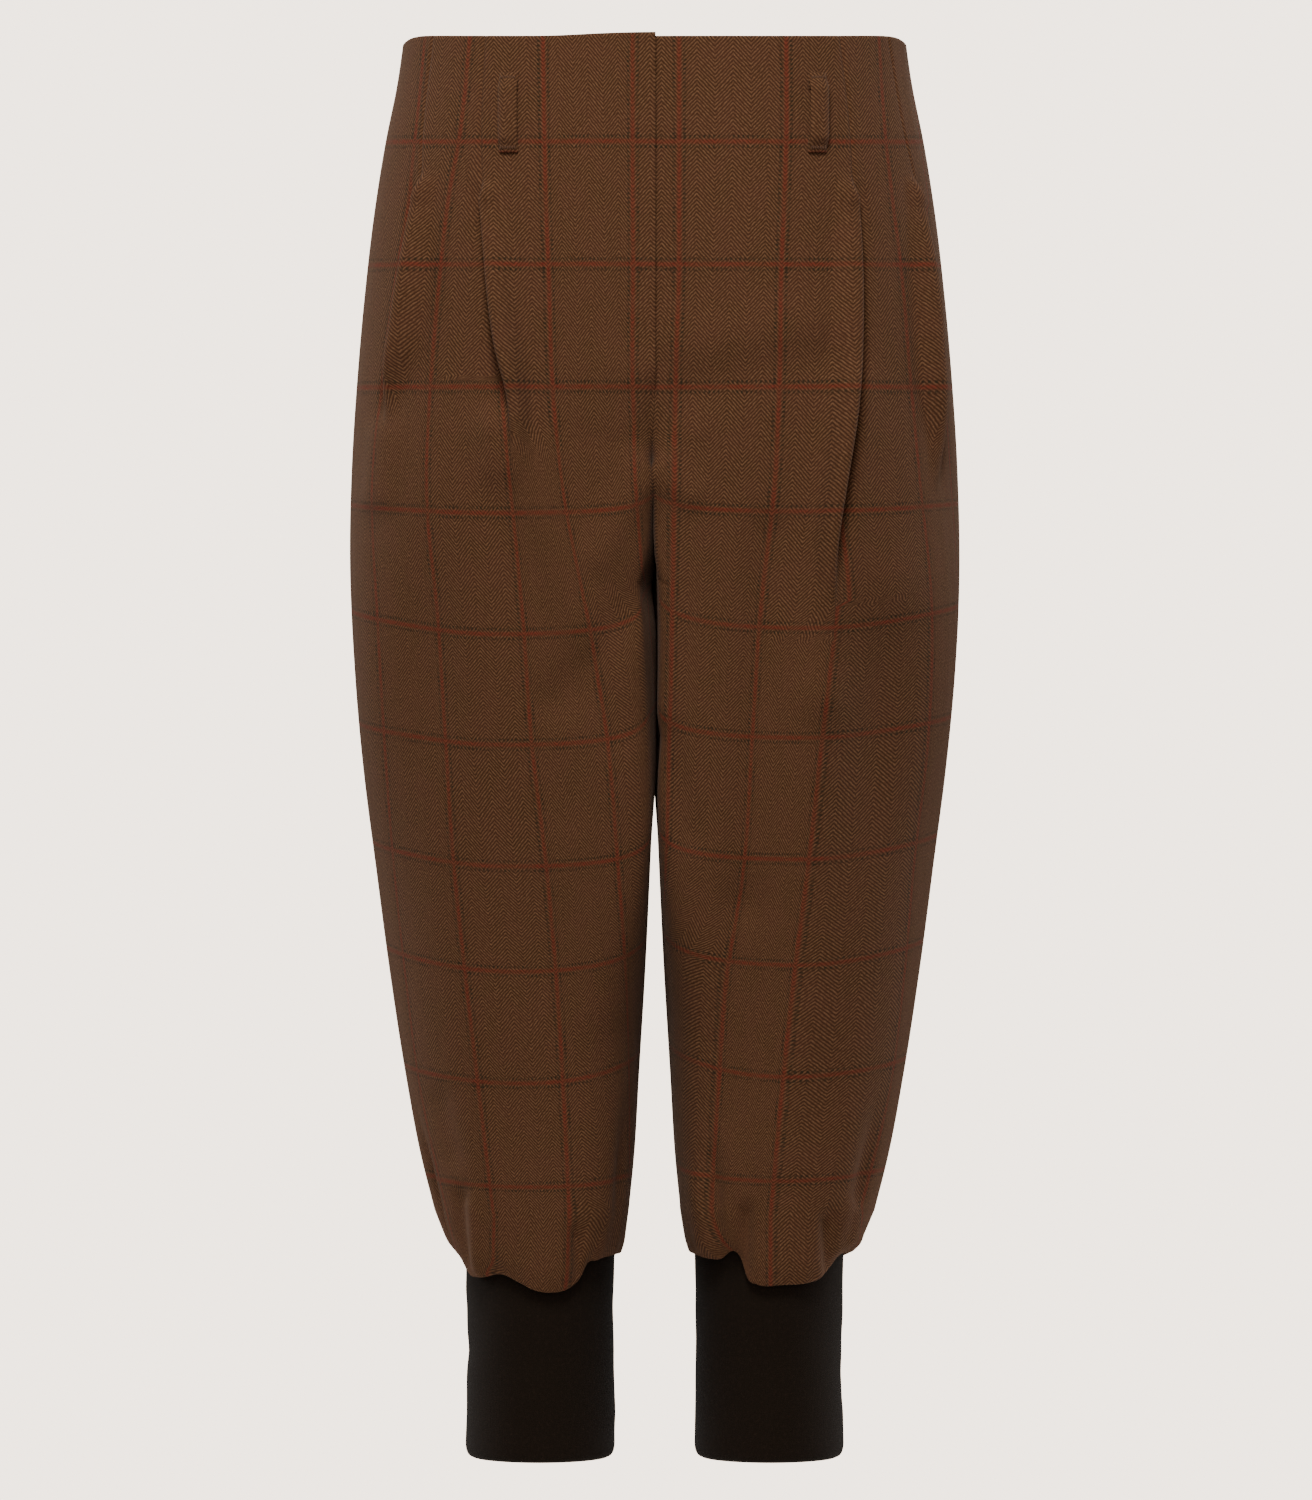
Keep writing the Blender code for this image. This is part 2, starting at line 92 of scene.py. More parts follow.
LOOP_TOP = 29.5
LOOP_END = 75.5
LOOP_WIDTH = 11
LOOP_SEAT = CLOTH / 2 + 0.75  # the middle of a strip that lies on the cloth
LOOP_STAND = 2.3       # how far the middle of a side or back loop stands off
LOOP_COLUMNS = 9
LOOP_CUT = (0.31, 0.35)  # where on the check the strips are cut
TACK_INSET = 3.4       # a bar tack's place from the loop's end
TACK_STITCHES = 9
TACK_PITCH = 1.05

OVERLAP = 4.0          # of a pleat's folded edge over the cloth under it
TUCK_DEPTH = 0.9       # of the stitched tucks' grooves above the pleats
OPEN_ARC = 3.0         # length of each bend where a pleat lies open
BEND_STEPS = 7
LEAD_COLUMNS = 8       # of a pleat's cloth before its first bend
TRAIL_COLUMNS = 6      # beyond its last one
FOLD_COLUMN = LEAD_COLUMNS + BEND_STEPS  # its last column before the cloth that it hides
PLEAT_REACH = 14       # half of the cloth that a pleat shapes
HEM_START = 680        # where the leg's cloth begins to turn in to the cuff
FACING = 32            # depth of the waist's inside facing
ROLL = 0.9             # radius of the turned edge at the waist


def as_table(rows):
    return np.array(rows, dtype=float)


# Half width at the side seams, depth to the front and the back, how far out the front-most and
# back-most lines run, and half the gap between the legs, all in millimetres
OUTLINE = as_table([
    # drop, side, front, back, front_x, back_x, gap
    (-10, 144.0, 91, 95, 32, 30, 0),
    (30, 149.7, 95, 100, 37, 38, 0),
    (60, 155.8, 98, 105, 42, 46, 0),
    (100, 162.3, 102, 113, 48, 57, 0),
    (150, 168.2, 106, 122, 56, 69, 0),
    (200, 172.6, 108, 125, 66, 80, 0),
    (250, 175.7, 109, 122, 80, 87, 0),
    (300, 176.7, 108, 116, 88, 88, 0),
    (370, 173.5, 105, 110, 87, 87, 0),
    (430, 168.2, 100, 105, 84, 84, 0.4),
    (480, 161.9, 95, 100, 82, 82, 2.4),
    (540, 154.0, 89, 93, 80, 80, 5.2),
    (600, 144.8, 82, 85, 77, 77, 8.8),
    (650, 135.4, 75, 77, 74, 74, 11.8),
    (680, 127.8, 69, 70, 71, 71, 14.8),
])
OUTLINE_NAMES = ("drop", "side", "front", "back", "front_x", "back_x", "gap")

# How the crosswise threads hang: their lift at the inner leg and at the side seam
WEFT = as_table([
    # drop, inner, outer
    (230, 0, 0), (277, 14, 5), (330, 30, 13), (411, 27, 13), (480, 24, 13), (540, 20, 12),
    (604, 16, 8), (650, 9, 6), (680, 0, 0),
])
WEFT_NAMES = ("drop", "inner", "outer")

# Where the folded edge of each front pleat runs, its height and how far it is folded over
PLEATS = {
    "right": (
        as_table([
            # drop, across, height, fold
            (0, 97, 2.4, 0.0), (60, 99, 2.4, 0.0), (84, 98, 2.4, 0.0), (91, 97, 2.6, 0.6),
            (99, 95.5, 3.4, 1.0), (118, 92.5, 6.0, 1.0), (150, 88.5, 9.0, 1.0),
            (185, 84.5, 9.5, 0.9), (207, 82.8, 8.0, 0.6),
            (234, 81.2, 6.0, 0.25), (262, 80.5, 4.4, 0.0), (430, 82, 4.4, 0.0),
            (560, 80, 4.4, 0.0), (680, 74, 4.4, 0.0),
        ]),
        as_table([
            (0, 127, 2.4, 0.0), (60, 133, 2.4, 0.0), (80, 133.5, 2.4, 0.0), (88, 134, 2.6, 0.6),
            (97, 134.5, 4.0, 1.0), (142, 138, 10.0, 1.0), (180, 144, 9.5, 0.9),
            (203, 151, 6.0, 0.5), (226, 154, 4.4, 0.0), (300, 152, 4.4, 0.0),
            (430, 145, 4.4, 0.0), (560, 128, 4.4, 0.0), (680, 104, 4.4, 0.0),
        ]),
    ),
    "left": (
        as_table([
            (0, 106, 2.4, 0.0), (60, 112, 2.4, 0.0), (83, 113, 2.4, 0.0), (91, 113, 2.6, 0.6),
            (100, 112.5, 3.4, 1.0), (120, 112, 6.0, 1.0), (165, 111, 9.0, 1.0),
            (215, 109, 9.5, 0.9), (262, 105, 8.0, 0.75), (300, 102.5, 6.0, 0.5),
            (340, 102, 4.0, 0.0), (430, 97, 4.4, 0.0),
            (560, 89, 4.4, 0.0), (680, 78, 4.4, 0.0),
        ]),
        as_table([
            (0, 134, 2.4, 0.0), (60, 144, 2.4, 0.0), (82, 149, 2.4, 0.0), (90, 150, 2.6, 0.6),
            (99, 150.5, 4.0, 1.0), (150, 154, 10.0, 1.0), (195, 157, 9.5, 0.9),
            (235, 162, 6.0, 0.45), (268, 162, 4.4, 0.0), (340, 158, 4.4, 0.0),
            (430, 148, 4.4, 0.0), (560, 130, 4.4, 0.0), (680, 105, 4.4, 0.0),
        ]),
    ),
}
PLEATS_SHOW = {"right": (222, 195), "left": (331, 215)}  # drops where no cloth stays hidden
TUCK_ENDS = {"right": (92, 87), "left": (91, 89)}  # drops where the stitched tucks let go

# Long soft folds, by quarters of a turn round a leg: 0 its inner seam, 1 front, 2 side, 3 back
FOLDS = {
    "right": (
        # turn, top, end, width, height
        (0.42, 262, 420, 20, -2.5), (0.80, 300, 560, 26, 4.5), (1.30, 250, 470, 24, -4.5),
        (1.66, 240, 520, 26, 4.0), (1.08, 560, 700, 22, -3.5), (1.80, 610, 712, 9, -5.5),
        (0.36, 600, 712, 12, -4.0), (2.45, 200, 520, 32, -5.0), (3.05, 260, 600, 30, 4.0),
        (3.50, 270, 430, 22, -5.0), (2.60, 600, 712, 12, -4.0), (3.40, 590, 712, 14, -4.0),
    ),
    "left": (
        (0.40, 262, 440, 20, -2.5), (0.86, 320, 600, 28, 4.5), (1.32, 280, 520, 22, -4.5),
        (1.70, 250, 480, 26, 4.0), (0.62, 620, 716, 10, -5.5), (1.58, 600, 712, 12, -4.5),
        (1.12, 560, 690, 22, -3.0), (2.50, 210, 540, 32, -5.0), (3.00, 250, 580, 30, 4.0),
        (3.52, 270, 450, 22, -5.0), (2.65, 600, 712, 12, -4.0), (3.35, 610, 712, 14, -4.0),
    ),
}

# Shorter creases that run at a slant, from one place on a leg to another
CREASES = {
    "right": (
        # x and drop of the start, x and drop of the end, width, height
        (85, 229, 37, 350, 12, 3.0), (91, 234, 89, 252, 12, 4.0), (154, 235, 157, 268, 10, 4.0),
        (4, 321, 54, 385, 12, -3.5), (8, 263, 31, 304, 11, 3.5), (31, 385, 22, 402, 14, -2.5),
        (48, 470, 31, 559, 16, 2.0), (0, 238, 16, 241, 9, -1.2), (111, 670, 107, 735, 5, -3.6),
        (123, 616, 116, 646, 8, -2.2), (105, 676, 99, 735, 6, 2.8), (44, 690, 40, 735, 5, -5.0),
    ),
    "left": (
        (20, 206, 96, 192, 12, -1.2), (26, 182, 94, 171, 16, 1.8), (65, 292, 51, 501, 12, -3.5),
        (51, 501, 37, 620, 14, -3.0), (111, 211, 94, 385, 14, 3.5), (94, 385, 77, 646, 16, 3.0),
        (134, 321, 134, 325, 22, 3.0), (6, 408, 20, 460, 10, -3.0), (4, 258, 20, 270, 8, 3.0),
        (0, 238, 25, 245, 10, -1.2), (26, 663, 37, 735, 8, 3.0), (52, 678, 51, 735, 5, -6.0),
        (114, 678, 110, 735, 6, 3.0), (100, 684, 102, 735, 5, -5.0),
    ),
}
BACK_CREASES = (
    (30, 270, 88, 300, 10, -3.0), (24, 300, 70, 352, 10, -3.0), (120, 330, 96, 470, 16, 3.0),
    (60, 420, 52, 560, 14, -2.5), (40, 200, 96, 214, 18, 2.5), (96, 640, 92, 705, 7, -4.0),
    (64, 650, 66, 705, 7, 3.5),
)

# The lowest line of the cloth that blouses over each cuff, by the same turns
HEM = {
    "right": as_table([
        # turn, drop
        (0, 705), (0.17, 705), (0.5, 707), (0.61, 709.4), (0.655, 715.6), (0.746, 721.7),
        (0.89, 724.5), (1.02, 723.2), (1.13, 719.3), (1.27, 714.6), (1.49, 716.8),
        (1.68, 714.8), (1.77, 709), (1.9, 705.5), (2.0, 705), (2.2, 708), (2.45, 715),
        (2.7, 719), (2.85, 716), (3.0, 712), (3.15, 717), (3.4, 721), (3.6, 716), (3.75, 708),
        (4, 705),
    ]),
    "left": as_table([
        (0, 704), (0.2, 704.6), (0.55, 706.4), (0.775, 706.8), (0.82, 716.5), (0.89, 719.8),
        (1.08, 720.2), (1.27, 719.5), (1.40, 717.3), (1.53, 711), (1.61, 705.4), (1.8, 703.8),
        (2.0, 703.5), (2.25, 708), (2.5, 716), (2.75, 720), (2.95, 714), (3.1, 713),
        (3.3, 720), (3.55, 718), (3.75, 708), (4, 704),
    ]),
}
# From the leg's end to its lowest line, in to the cuff and back up behind itself
HEM_PATH = as_table([
    # step, share of the way down, share of the leg's width left, climb behind
    (0, 0.0, 1.0, 0), (1, 0.37, 0.78, 0), (2, 0.72, 0.55, 0), (3, 0.9, 0.34, 0),
    (4, 1.0, 0.17, 0), (4.5, 1.0, 0.06, 0.8), (5, 1.0, 0.0, 3.0), (6, 1.0, 0.0, 9.0),
    (7, 1.0, 0.0, 16.0),
])

# Length of cloth from the waist down to each drop on the fronts
CLOTH_DOWN = as_table([
    (-10, -10), (0, 0), (61.5, 61.5), (133, 133), (204, 204.5), (277, 276), (347, 347.5),
    (411, 419), (480, 490.5), (540, 562), (604, 633.5), (663.5, 705), (680, 726),
])
FIRST_LINE = 61.5
CHECK_TALL = 71.5
CHECK_WIDE = 60.0

# How far across each lengthwise line of the check runs, from the middle. 0 is out of sight
LINES = {
    "right": as_table([
        # drop, lines 0 to 4
        (0, 12.8, 63.4, 0, 104.5, 131), (65, 12.6, 62.3, 0, 111, 137),
        (102, 12.5, 61.5, 0, 117.5, 141), (139, 12.3, 60, 0, 121.5, 147),
        (205, 12.6, 57.7, 87.9, 127, 156), (263, 10.5, 52.6, 81.6, 129.5, 161),
        (343, 3, 37.5, 74.2, 122.7, 157.6), (408, 0, 27, 69.7, 118.7, 154),
        (480, 0, 21, 61.2, 114, 149), (540, 0, 17, 56, 107.8, 143),
        (610, 0, 15, 52, 100, 134), (680, 0, 15, 49, 92, 119),
    ]),
    "left": as_table([
        (0, 13.9, 74.7, 0, 128, 0), (65, 13.9, 74.7, 0, 132, 0),
        (102, 13.9, 73.5, 0, 136, 156), (139, 13.9, 71.8, 0, 140.5, 161),
        (205, 12, 70.7, 0, 146, 0), (263, 11.5, 68, 0, 151.5, 0),
        (330, 10.8, 60.5, 103.7, 158, 0), (408, 9.3, 55.4, 94.5, 156.5, 0),
        (480, 6.8, 50.8, 86.6, 148.5, 0), (540, 4, 42, 79.2, 143.5, 0),
        (610, 0, 37, 72, 135, 0), (680, 0, 33, 66, 118, 0),
    ]),
}
RIB = 2.4              # pitch of the twill's ribs as drawn
RIB_TURN = 10.0        # how far across they run before they turn back
RIB_SLOPE = 1.1
GREEN_OFF = 3.0        # from the middle of a red line to a dark green one
DOTS = 2.7             # pitch of the green threads' dots
FAR_OFF = 1000.0       # added where a pattern needs positive numbers
OUTER_TUCK = 0.45      # share of a check that a pleat hides where no line is seen beyond it


def linear(colour):
    """Turns an sRGB hex colour to linear RGBA."""
    parts = [int(colour[i:i + 2], 16) / 255 for i in (1, 3, 5)]
    return tuple(p / 12.92 if p <= 0.04045 else ((p + 0.055) / 1.055) ** 2.4
                 for p in parts) + (1.0,)


def colour_setting(name, hex_colour, description):
    return FloatVectorProperty(name=name, description=description, subtype="COLOR", size=4,
                               min=0, max=1, default=linear(hex_colour))


def length_setting(name, default_mm, description):
    return FloatProperty(name=name, description=description, default=default_mm * MM,
                         min=0, unit="LENGTH", precision=5)


class TweedSettings(bpy.types.PropertyGroup):
    thickness: length_setting("Cloth thickness", 1.1, "Thickness of one layer of the tweed")
    ground: colour_setting("Ground", "#563722", "The cloth's main brown")
    light: colour_setting("Light fleck", "#835E41", "The lighter yarn")
    dark: colour_setting("Dark fleck", "#2E1B0F", "The darker yarn")
    red: colour_setting("Red line", "#76231A", "The check's red yarn")
    green: colour_setting("Green line", "#211F14", "The check's dark green yarn")


class CuffSettings(bpy.types.PropertyGroup):
    thickness: length_setting("Knit thickness", 2.6, "Thickness of the doubled knit")
    colour: colour_setting("Knit", "#19110A", "The cuffs' black")


class StageSettings(bpy.types.PropertyGroup):
    paper: colour_setting("Paper", "#E9E5E1", "The pale paper below")
    backdrop: colour_setting("Backdrop", "#EADBCC", "The plain backdrop behind")
    glow: FloatProperty(name="Backdrop light", min=0, default=4.9,
                        description="How brightly the backdrop behind the breeches is lit")
    key: FloatProperty(name="Key light", description="Power of the large front light",
                       default=63, min=0, unit="POWER")
    fill: FloatProperty(name="Fill", description="Strength of the light from all round",
                        default=0.22, min=0)


def smooth_read(at, xs, ys):
    """Reads a table's curve at the places given, rounded through its points."""
    slopes = np.gradient(ys, xs)
    at = np.clip(at, xs[0], xs[-1])
    i = np.clip(np.searchsorted(xs, at, side="right") - 1, 0, len(xs) - 2)
    width = xs[i + 1] - xs[i]
    t = (at - xs[i]) / width
    start = (1 + 2 * t) * (1 - t) ** 2 * ys[i] + t * (1 - t) ** 2 * width * slopes[i]
    end = t * t * (3 - 2 * t) * ys[i + 1] + t * t * (t - 1) * width * slopes[i + 1]
    return start + end


def column_read(table, names, name, at):
    """Reads the named column of a table at the drops given."""
    return smooth_read(at, table[:, 0], table[:, names.index(name)])


def read_one(table, column, at):
    """Reads a column of a table, by its number, at one place."""
    return float(smooth_read(np.array([at]), table[:, 0], table[:, column])[0])


def outline(name, drop):
    return column_read(OUTLINE, OUTLINE_NAMES, name, drop)


def ease(t):
    """Runs smoothly from 0 to 1 as t does."""
    t = np.clip(t, 0, 1)
    return t * t * (3 - 2 * t)


def weft_lift(name, drop):
    return column_read(WEFT, WEFT_NAMES, name, drop)


def quarter(t, start, heading, corner, finish, fullness=ROUND):
    """Returns points of a quarter of a section, which leaves start along heading and reaches
    finish from the direction of corner."""
    reach = np.abs(finish - start)
    leave = start + fullness * heading * np.linalg.norm(heading * reach, axis=1, keepdims=True)
    arrive = finish + fullness * (corner - finish)
    t = t[:, None]
    return ((1 - t) ** 3 * start + 3 * (1 - t) ** 2 * t * leave
            + 3 * (1 - t) * t * t * arrive + t ** 3 * finish)


def sharpen(points, start, corner, finish, power):
    """Draws a quarter of a section closer to its corner."""
    span = np.column_stack([finish[:, 0] - corner[:, 0], start[:, 1] - corner[:, 1]])
    span = np.where(np.abs(span) < 1, 1, span)
    share = (points - corner) / span
    return corner + share * np.abs(share) ** (power - 1) * span


def pair(x, y):
    return np.stack(np.broadcast_arrays(x, y), axis=1).astype(float)


def seam_point(seam_drop, front):
    """Returns how far back the crotch seam or inseam lies, and how much the wall there is a
    leg's and not the torso's."""
    start = FLY_END if front else SEAT_START
    if front:
        middle_y = 0.8 + 4 * ease((seam_drop - 185) / 60) - outline("front", seam_drop)
    else:
        middle_y = outline("back", seam_drop) - 1.5 - 7 * ease((seam_drop - 20) / 110)
    t = np.clip((seam_drop - start) / (FORK - start), 0, 1)
    power, root = (2.4, 0.5) if front else (3.0, 0.6)
    curve = 1 - (1 - t ** power) ** root
    y = middle_y + (FORK_Y - middle_y) * curve
    leg = ease((seam_drop - FLY_END) / (290 - FLY_END))
    return y, leg


def form_row(turn, drop):
    """Returns the middle of the wall, for the leg on +X, along one row of crosswise threads.
    Turn runs from the front middle or inner leg (0) by the front, side and back round to 4."""
    inner, outer = weft_lift("inner", drop), weft_lift("outer", drop)
    from_seam = np.where(turn < 2, 1 - turn, turn - 3)
    from_side = 1 - np.abs(turn - 2)
    toward_front = np.where(turn < 1, 1, np.cos(np.clip(turn - 1, 0, 2) * math.pi / 2))
    tilt = np.where(toward_front > 0, -FRONT_DIP, -BACK_RISE) * toward_front
    z = -drop + inner * ease(from_seam) + outer * ease(from_side)
    z = z + tilt * (1 - min(drop, EYE_DROP) / EYE_DROP)
    # The rim dips at the side seams only, within about 9 mm of the top
    z = z - RIM_DIP * np.exp(-((turn - 2) / 0.17) ** 2) * math.exp(-max(drop, 0) / 9)
    here = -z
    half = CLOTH / 2
    side = outline("side", here) - half
    front, back = half - outline("front", here), outline("back", here) - half
    front_x, back_x = outline("front_x", here), outline("back_x", here)

    seam_drop = drop - inner
    seam_z = np.array([seam_drop])
    seam_y, leg = seam_point(seam_z, True)
    rear_y, rear_leg = seam_point(seam_z, False)
    wall = max(LEGS_APART, outline("gap", seam_z)[0] + half)
    seam_x = SEAM / 2 + leg * (wall - SEAM / 2)
    step = SEAM / 2 if seam_drop >= FORK - 1 else 0

    points = np.zeros((len(turn), 2))

    def part(mask, t, start, heading, corner, finish, fullness=ROUND):
        points[mask] = quarter(t[mask], start[mask], heading, corner[mask], finish[mask], fullness)

    first = turn <= 1
    second = (turn > 1) & (turn <= 2)
    third = (turn > 2) & (turn <= 3)
    fourth = turn > 3
    front_head = np.array([1 - leg[0], -leg[0]])
    rear_head = np.array([1 - rear_leg[0], rear_leg[0]])

    parting = ease((seam_drop - TOUCH_FADE) / 150)
    touching = ease((seam_drop - TOUCH_START) / 45) * (1 - 0.75 * parting)
    full = ROUND + (TOUCH_ROUND - ROUND) * touching

    level = seam_x + 0 * z
    front_seam, rear_seam = pair(level, seam_y - step), pair(level, rear_y + step)
    foremost, hindmost, sidemost = pair(front_x, front), pair(back_x, back), pair(side, 0)
    part(first, turn, front_seam, front_head, pair(level, front), foremost, full)
    part(second, 2 - turn, sidemost, np.array([0.0, -1.0]), pair(side, front), foremost)
    part(third, turn - 2, sidemost, np.array([0.0, 1.0]), pair(side, back), hindmost)
    part(fourth, 4 - turn, rear_seam, rear_head, pair(level, back), hindmost, full)
    for mask, start, end, finish in ((first, front_seam, front, foremost),
                                     (fourth, rear_seam, back, hindmost)):
        points[mask] = sharpen(points[mask], start[mask], pair(level, end)[mask], finish[mask],
                               1 + CORNER * touching)
    return np.column_stack([points, z])


def sway(points, mirrored):
    """Waves the walls where the two legs touch, both the same way, so no light gets through."""
    x, y, drop = points[..., 0], points[..., 1], -points[..., 2]
    near = (1 - ease((np.abs(x) - 3) / 12)) * ease((drop - 215) / 30) * ease((470 - drop) / 60)
    wave = SWAY * np.sin(2 * math.pi * y / SWAY_LENGTH) * near
    points[..., 0] += -wave if mirrored else wave
    return points


def outward(row):
    """Returns the level outward direction at each point of a row."""
    along = np.gradient(row[:, :2], axis=0)
    along /= np.maximum(np.linalg.norm(along, axis=1, keepdims=True), 1e-9)
    return np.column_stack([along[:, 1], -along[:, 0], np.zeros(len(row))])


def soft_folds(side, turn, row):
    """Returns how far the long soft folds stand out along a row."""
    drop = -row[:, 2]
    out = np.zeros(len(turn))
    for at, top, end, width, height in FOLDS[side]:
        middle = (top + end) / 2
        length = ease((drop - top) / (middle - top)) * ease((end - drop) / (end - middle))
        across = (turn - at) * QUARTER_TURN
        out += height * length * np.exp(-(across / width) ** 2)
    return out


def creases(side, turn, row):
    """Returns how far the short slanting creases stand out along a row."""
    out = np.zeros(len(turn))
    on_front = ease((1.97 - turn) / 0.12)
    on_back = ease((turn - 2.03) / 0.12)
    for share, table in ((on_front, CREASES[side]), (on_back, BACK_CREASES)):
        for x0, drop0, x1, drop1, width, height in table:
            way = np.array([x1 - x0, drop1 - drop0])
            off = np.column_stack([row[:, 0] - x0, -row[:, 2] - drop0])
            t = np.clip(off @ way / (way @ way), 0, 1)
            gap = np.linalg.norm(off - t[:, None] * way, axis=1)
            out += share * height * np.exp(-(gap / width) ** 2)
    return out


def cuff_ring(turn, out, opened=1.0):
    """Returns a level ring round a cuff's face, out from it, whole or opened at its inseam."""
    angle = (turn - 2) * math.pi / 2 * opened
    x = CUFF_X + (CUFF_HALF + out) * np.cos(angle)
    return pair(x, (CUFF_DEPTH + out) * np.sin(angle))


def gathers(turn, seed):
    """Returns the small puckers where the tweed is drawn in to the cuff."""
    draw = np.random.default_rng(seed)
    waves = np.zeros(len(turn))
    for count in (9, 14, 21, 29):
        waves += np.cos(2 * math.pi * (count * turn / 4 + draw.random())) / (1 + count / 14)
    return waves


class Row:
    """One row of crosswise threads, sampled closely, with its distance along the cloth."""

    SAMPLES = 901

    def __init__(self, side, drop, hem=None):
        self.turn = np.linspace(0, 4, self.SAMPLES)
        base = form_row(self.turn, min(drop, HEM_START))
        self.out = outward(base)
        rise = soft_folds(side, self.turn, base)
        if hem is None:
            rise = rise + creases(side, self.turn, base)
            from_inseam = np.minimum(self.turn, 4 - self.turn)
            rise = rise * (1 - (1 - ease(from_inseam / 0.22)) * ease((drop - 205) / 20))
            base = base + self.out * rise[:, None]
        else:
            base = base + self.out * rise[:, None]
            base = self.blouse(side, base, hem)
            self.out = outward(base)
            base = base + self.out * self.hem_relief(side, base, hem)[:, None]
        self.points = base
        steps = np.linalg.norm(np.diff(base, axis=0), axis=1)
        self.along = np.concatenate([[0], np.cumsum(steps)])
        self.side_along = np.interp(2, self.turn, self.along)

    def blouse(self, side, base, hem):
        """Carries the leg's last row down and in to the cuff, and back up behind itself."""
        lowest = smooth_read(self.turn, HEM[side][:, 0], HEM[side][:, 1])
        on_cuff = cuff_ring(self.turn, HEM_CLEAR, 0.9995)
        down, left, climb = hem
        xy = on_cuff + left * (base[:, :2] - on_cuff)
        z = climb - (HEM_START + down * (lowest - HEM_START))
        start = base[:, 2] + HEM_START
        return np.column_stack([xy, z + start * (1 - down)])

    def hem_relief(self, side, base, hem):
        """Returns the creases and puckers of the bloused cloth, none where it turns under."""
        down, left, _ = hem
        seed = 5 if side == "right" else 11
        fade = ease(left / 0.3)
        pucker = PUCKER * gathers(self.turn, seed) * down * fade
        return creases(side, self.turn, base) * ease(left / 0.62) + pucker

    def at(self, along, out):
        """Returns the points at distances along the row, standing out from it."""
        point = np.column_stack([np.interp(along, self.along, self.points[:, k])
                                 for k in range(3)])
        normal = np.column_stack([np.interp(along, self.along, self.out[:, k]) for k in range(3)])
        return point + normal * np.reshape(out, (-1, 1))

    def find(self, x):
        """Returns the distance along the front where the row reaches x."""
        front = self.turn <= 2
        return float(np.interp(x, self.points[front, 0], self.along[front]))


def pleat_section(height, fold):
    """Returns how far across and out each column of a pleat stands, from its centre side. The
    cloth bends under itself and back again, through a half turn each time where it lies folded.
    """
    turned = max(math.pi * fold, 1e-4)
    bend = (math.pi * height / 4 * fold + OPEN_ARC * (1 - fold)) / turned
    under = max(OVERLAP * fold * fold, 0.25)
    high = 2 * bend * (1 - math.cos(turned)) + under * math.sin(turned)
    start = -bend * math.sin(turned) - under * math.cos(turned) / 2
    points = []
    for k in range(LEAD_COLUMNS):
        t = k / LEAD_COLUMNS
        points.append((-PLEAT_REACH + t * (PLEAT_REACH + start), high * float(ease(t * 1.05))))
    for k in range(BEND_STEPS + 1):
        angle = turned * k / BEND_STEPS
        points.append((start + bend * math.sin(angle), high - bend * (1 - math.cos(angle))))
    for k in range(BEND_STEPS + 1):
        angle = turned * (1 - k / BEND_STEPS)
        points.append((-start - bend * math.sin(angle), bend * (1 - math.cos(angle))))
    points += [(-start + (PLEAT_REACH + start) * k / TRAIL_COLUMNS, 0.0)
               for k in range(1, TRAIL_COLUMNS + 1)]
    across, out = np.array(points).T
    valley = 0.75 * height * fold * np.exp(-((across - 4.5) / 4.2) ** 2) * (out < high / 2)
    return across, out - valley


EDGE_COLUMNS = (0.0, 0.5, 1.2, 2.1, SEAM_REACH)  # how far from a seam the closest columns run
FRONT_STEPS = (42, 12, 22)  # columns before each pleat, and beyond the last one


def front_columns(side, row, drop):
    """Returns the place along the row and the stand-off of each column of a front, and the
    columns after which each pleat hides cloth."""
    end = row.side_along - SEAM / 2
    columns = list(EDGE_COLUMNS)
    lifts = [0.0] * len(columns)
    hides = []
    spread = 1 + 0.6 * ease((drop - 310) / 70) * (1 - ease((drop - 500) / 120))
    for table, steps, tuck_end in zip(PLEATS[side], FRONT_STEPS, TUCK_ENDS[side]):
        across, height, fold = (read_one(table, k, drop) for k in (1, 2, 3))
        fold = min(max(fold, 0.0), 1.0)
        middle = row.find(across)
        offsets, out = pleat_section(height, fold)
        groove = 1 - ease((drop - tuck_end + 4) / 10)
        out = out - TUCK_DEPTH * groove * np.exp(-(offsets / 1.3) ** 2)
        offsets = middle + offsets * min(spread, (end - middle) / (PLEAT_REACH + 6))
        columns += list(np.linspace(columns[-1], offsets[0], steps + 1)[1:-1])
        lifts += [0.0] * (steps - 1)
        hides.append(len(columns) + FOLD_COLUMN)
        columns += list(offsets)
        lifts += list(out)
    steps = FRONT_STEPS[-1]
    columns += list(np.linspace(columns[-1], end - SEAM_REACH, steps + 1)[1:])
    columns += [end - edge for edge in EDGE_COLUMNS[-2::-1]]
    lifts += [0.0] * (steps + len(EDGE_COLUMNS) - 1)
    return np.array(columns), np.array(lifts), hides


def seam_dip(from_edge):
    """Returns how far the cloth turns in beside a seam."""
    return -SEAM_DIP * (1 - ease(from_edge / SEAM_REACH)) ** 1.5


def crotch_dip(drop):
    """Returns how much the crotch seam turns in: not where the two legs touch."""
    return 1 - ease((drop - 203) / 20) * (1 - 0.6 * ease((drop - 450) / 60))


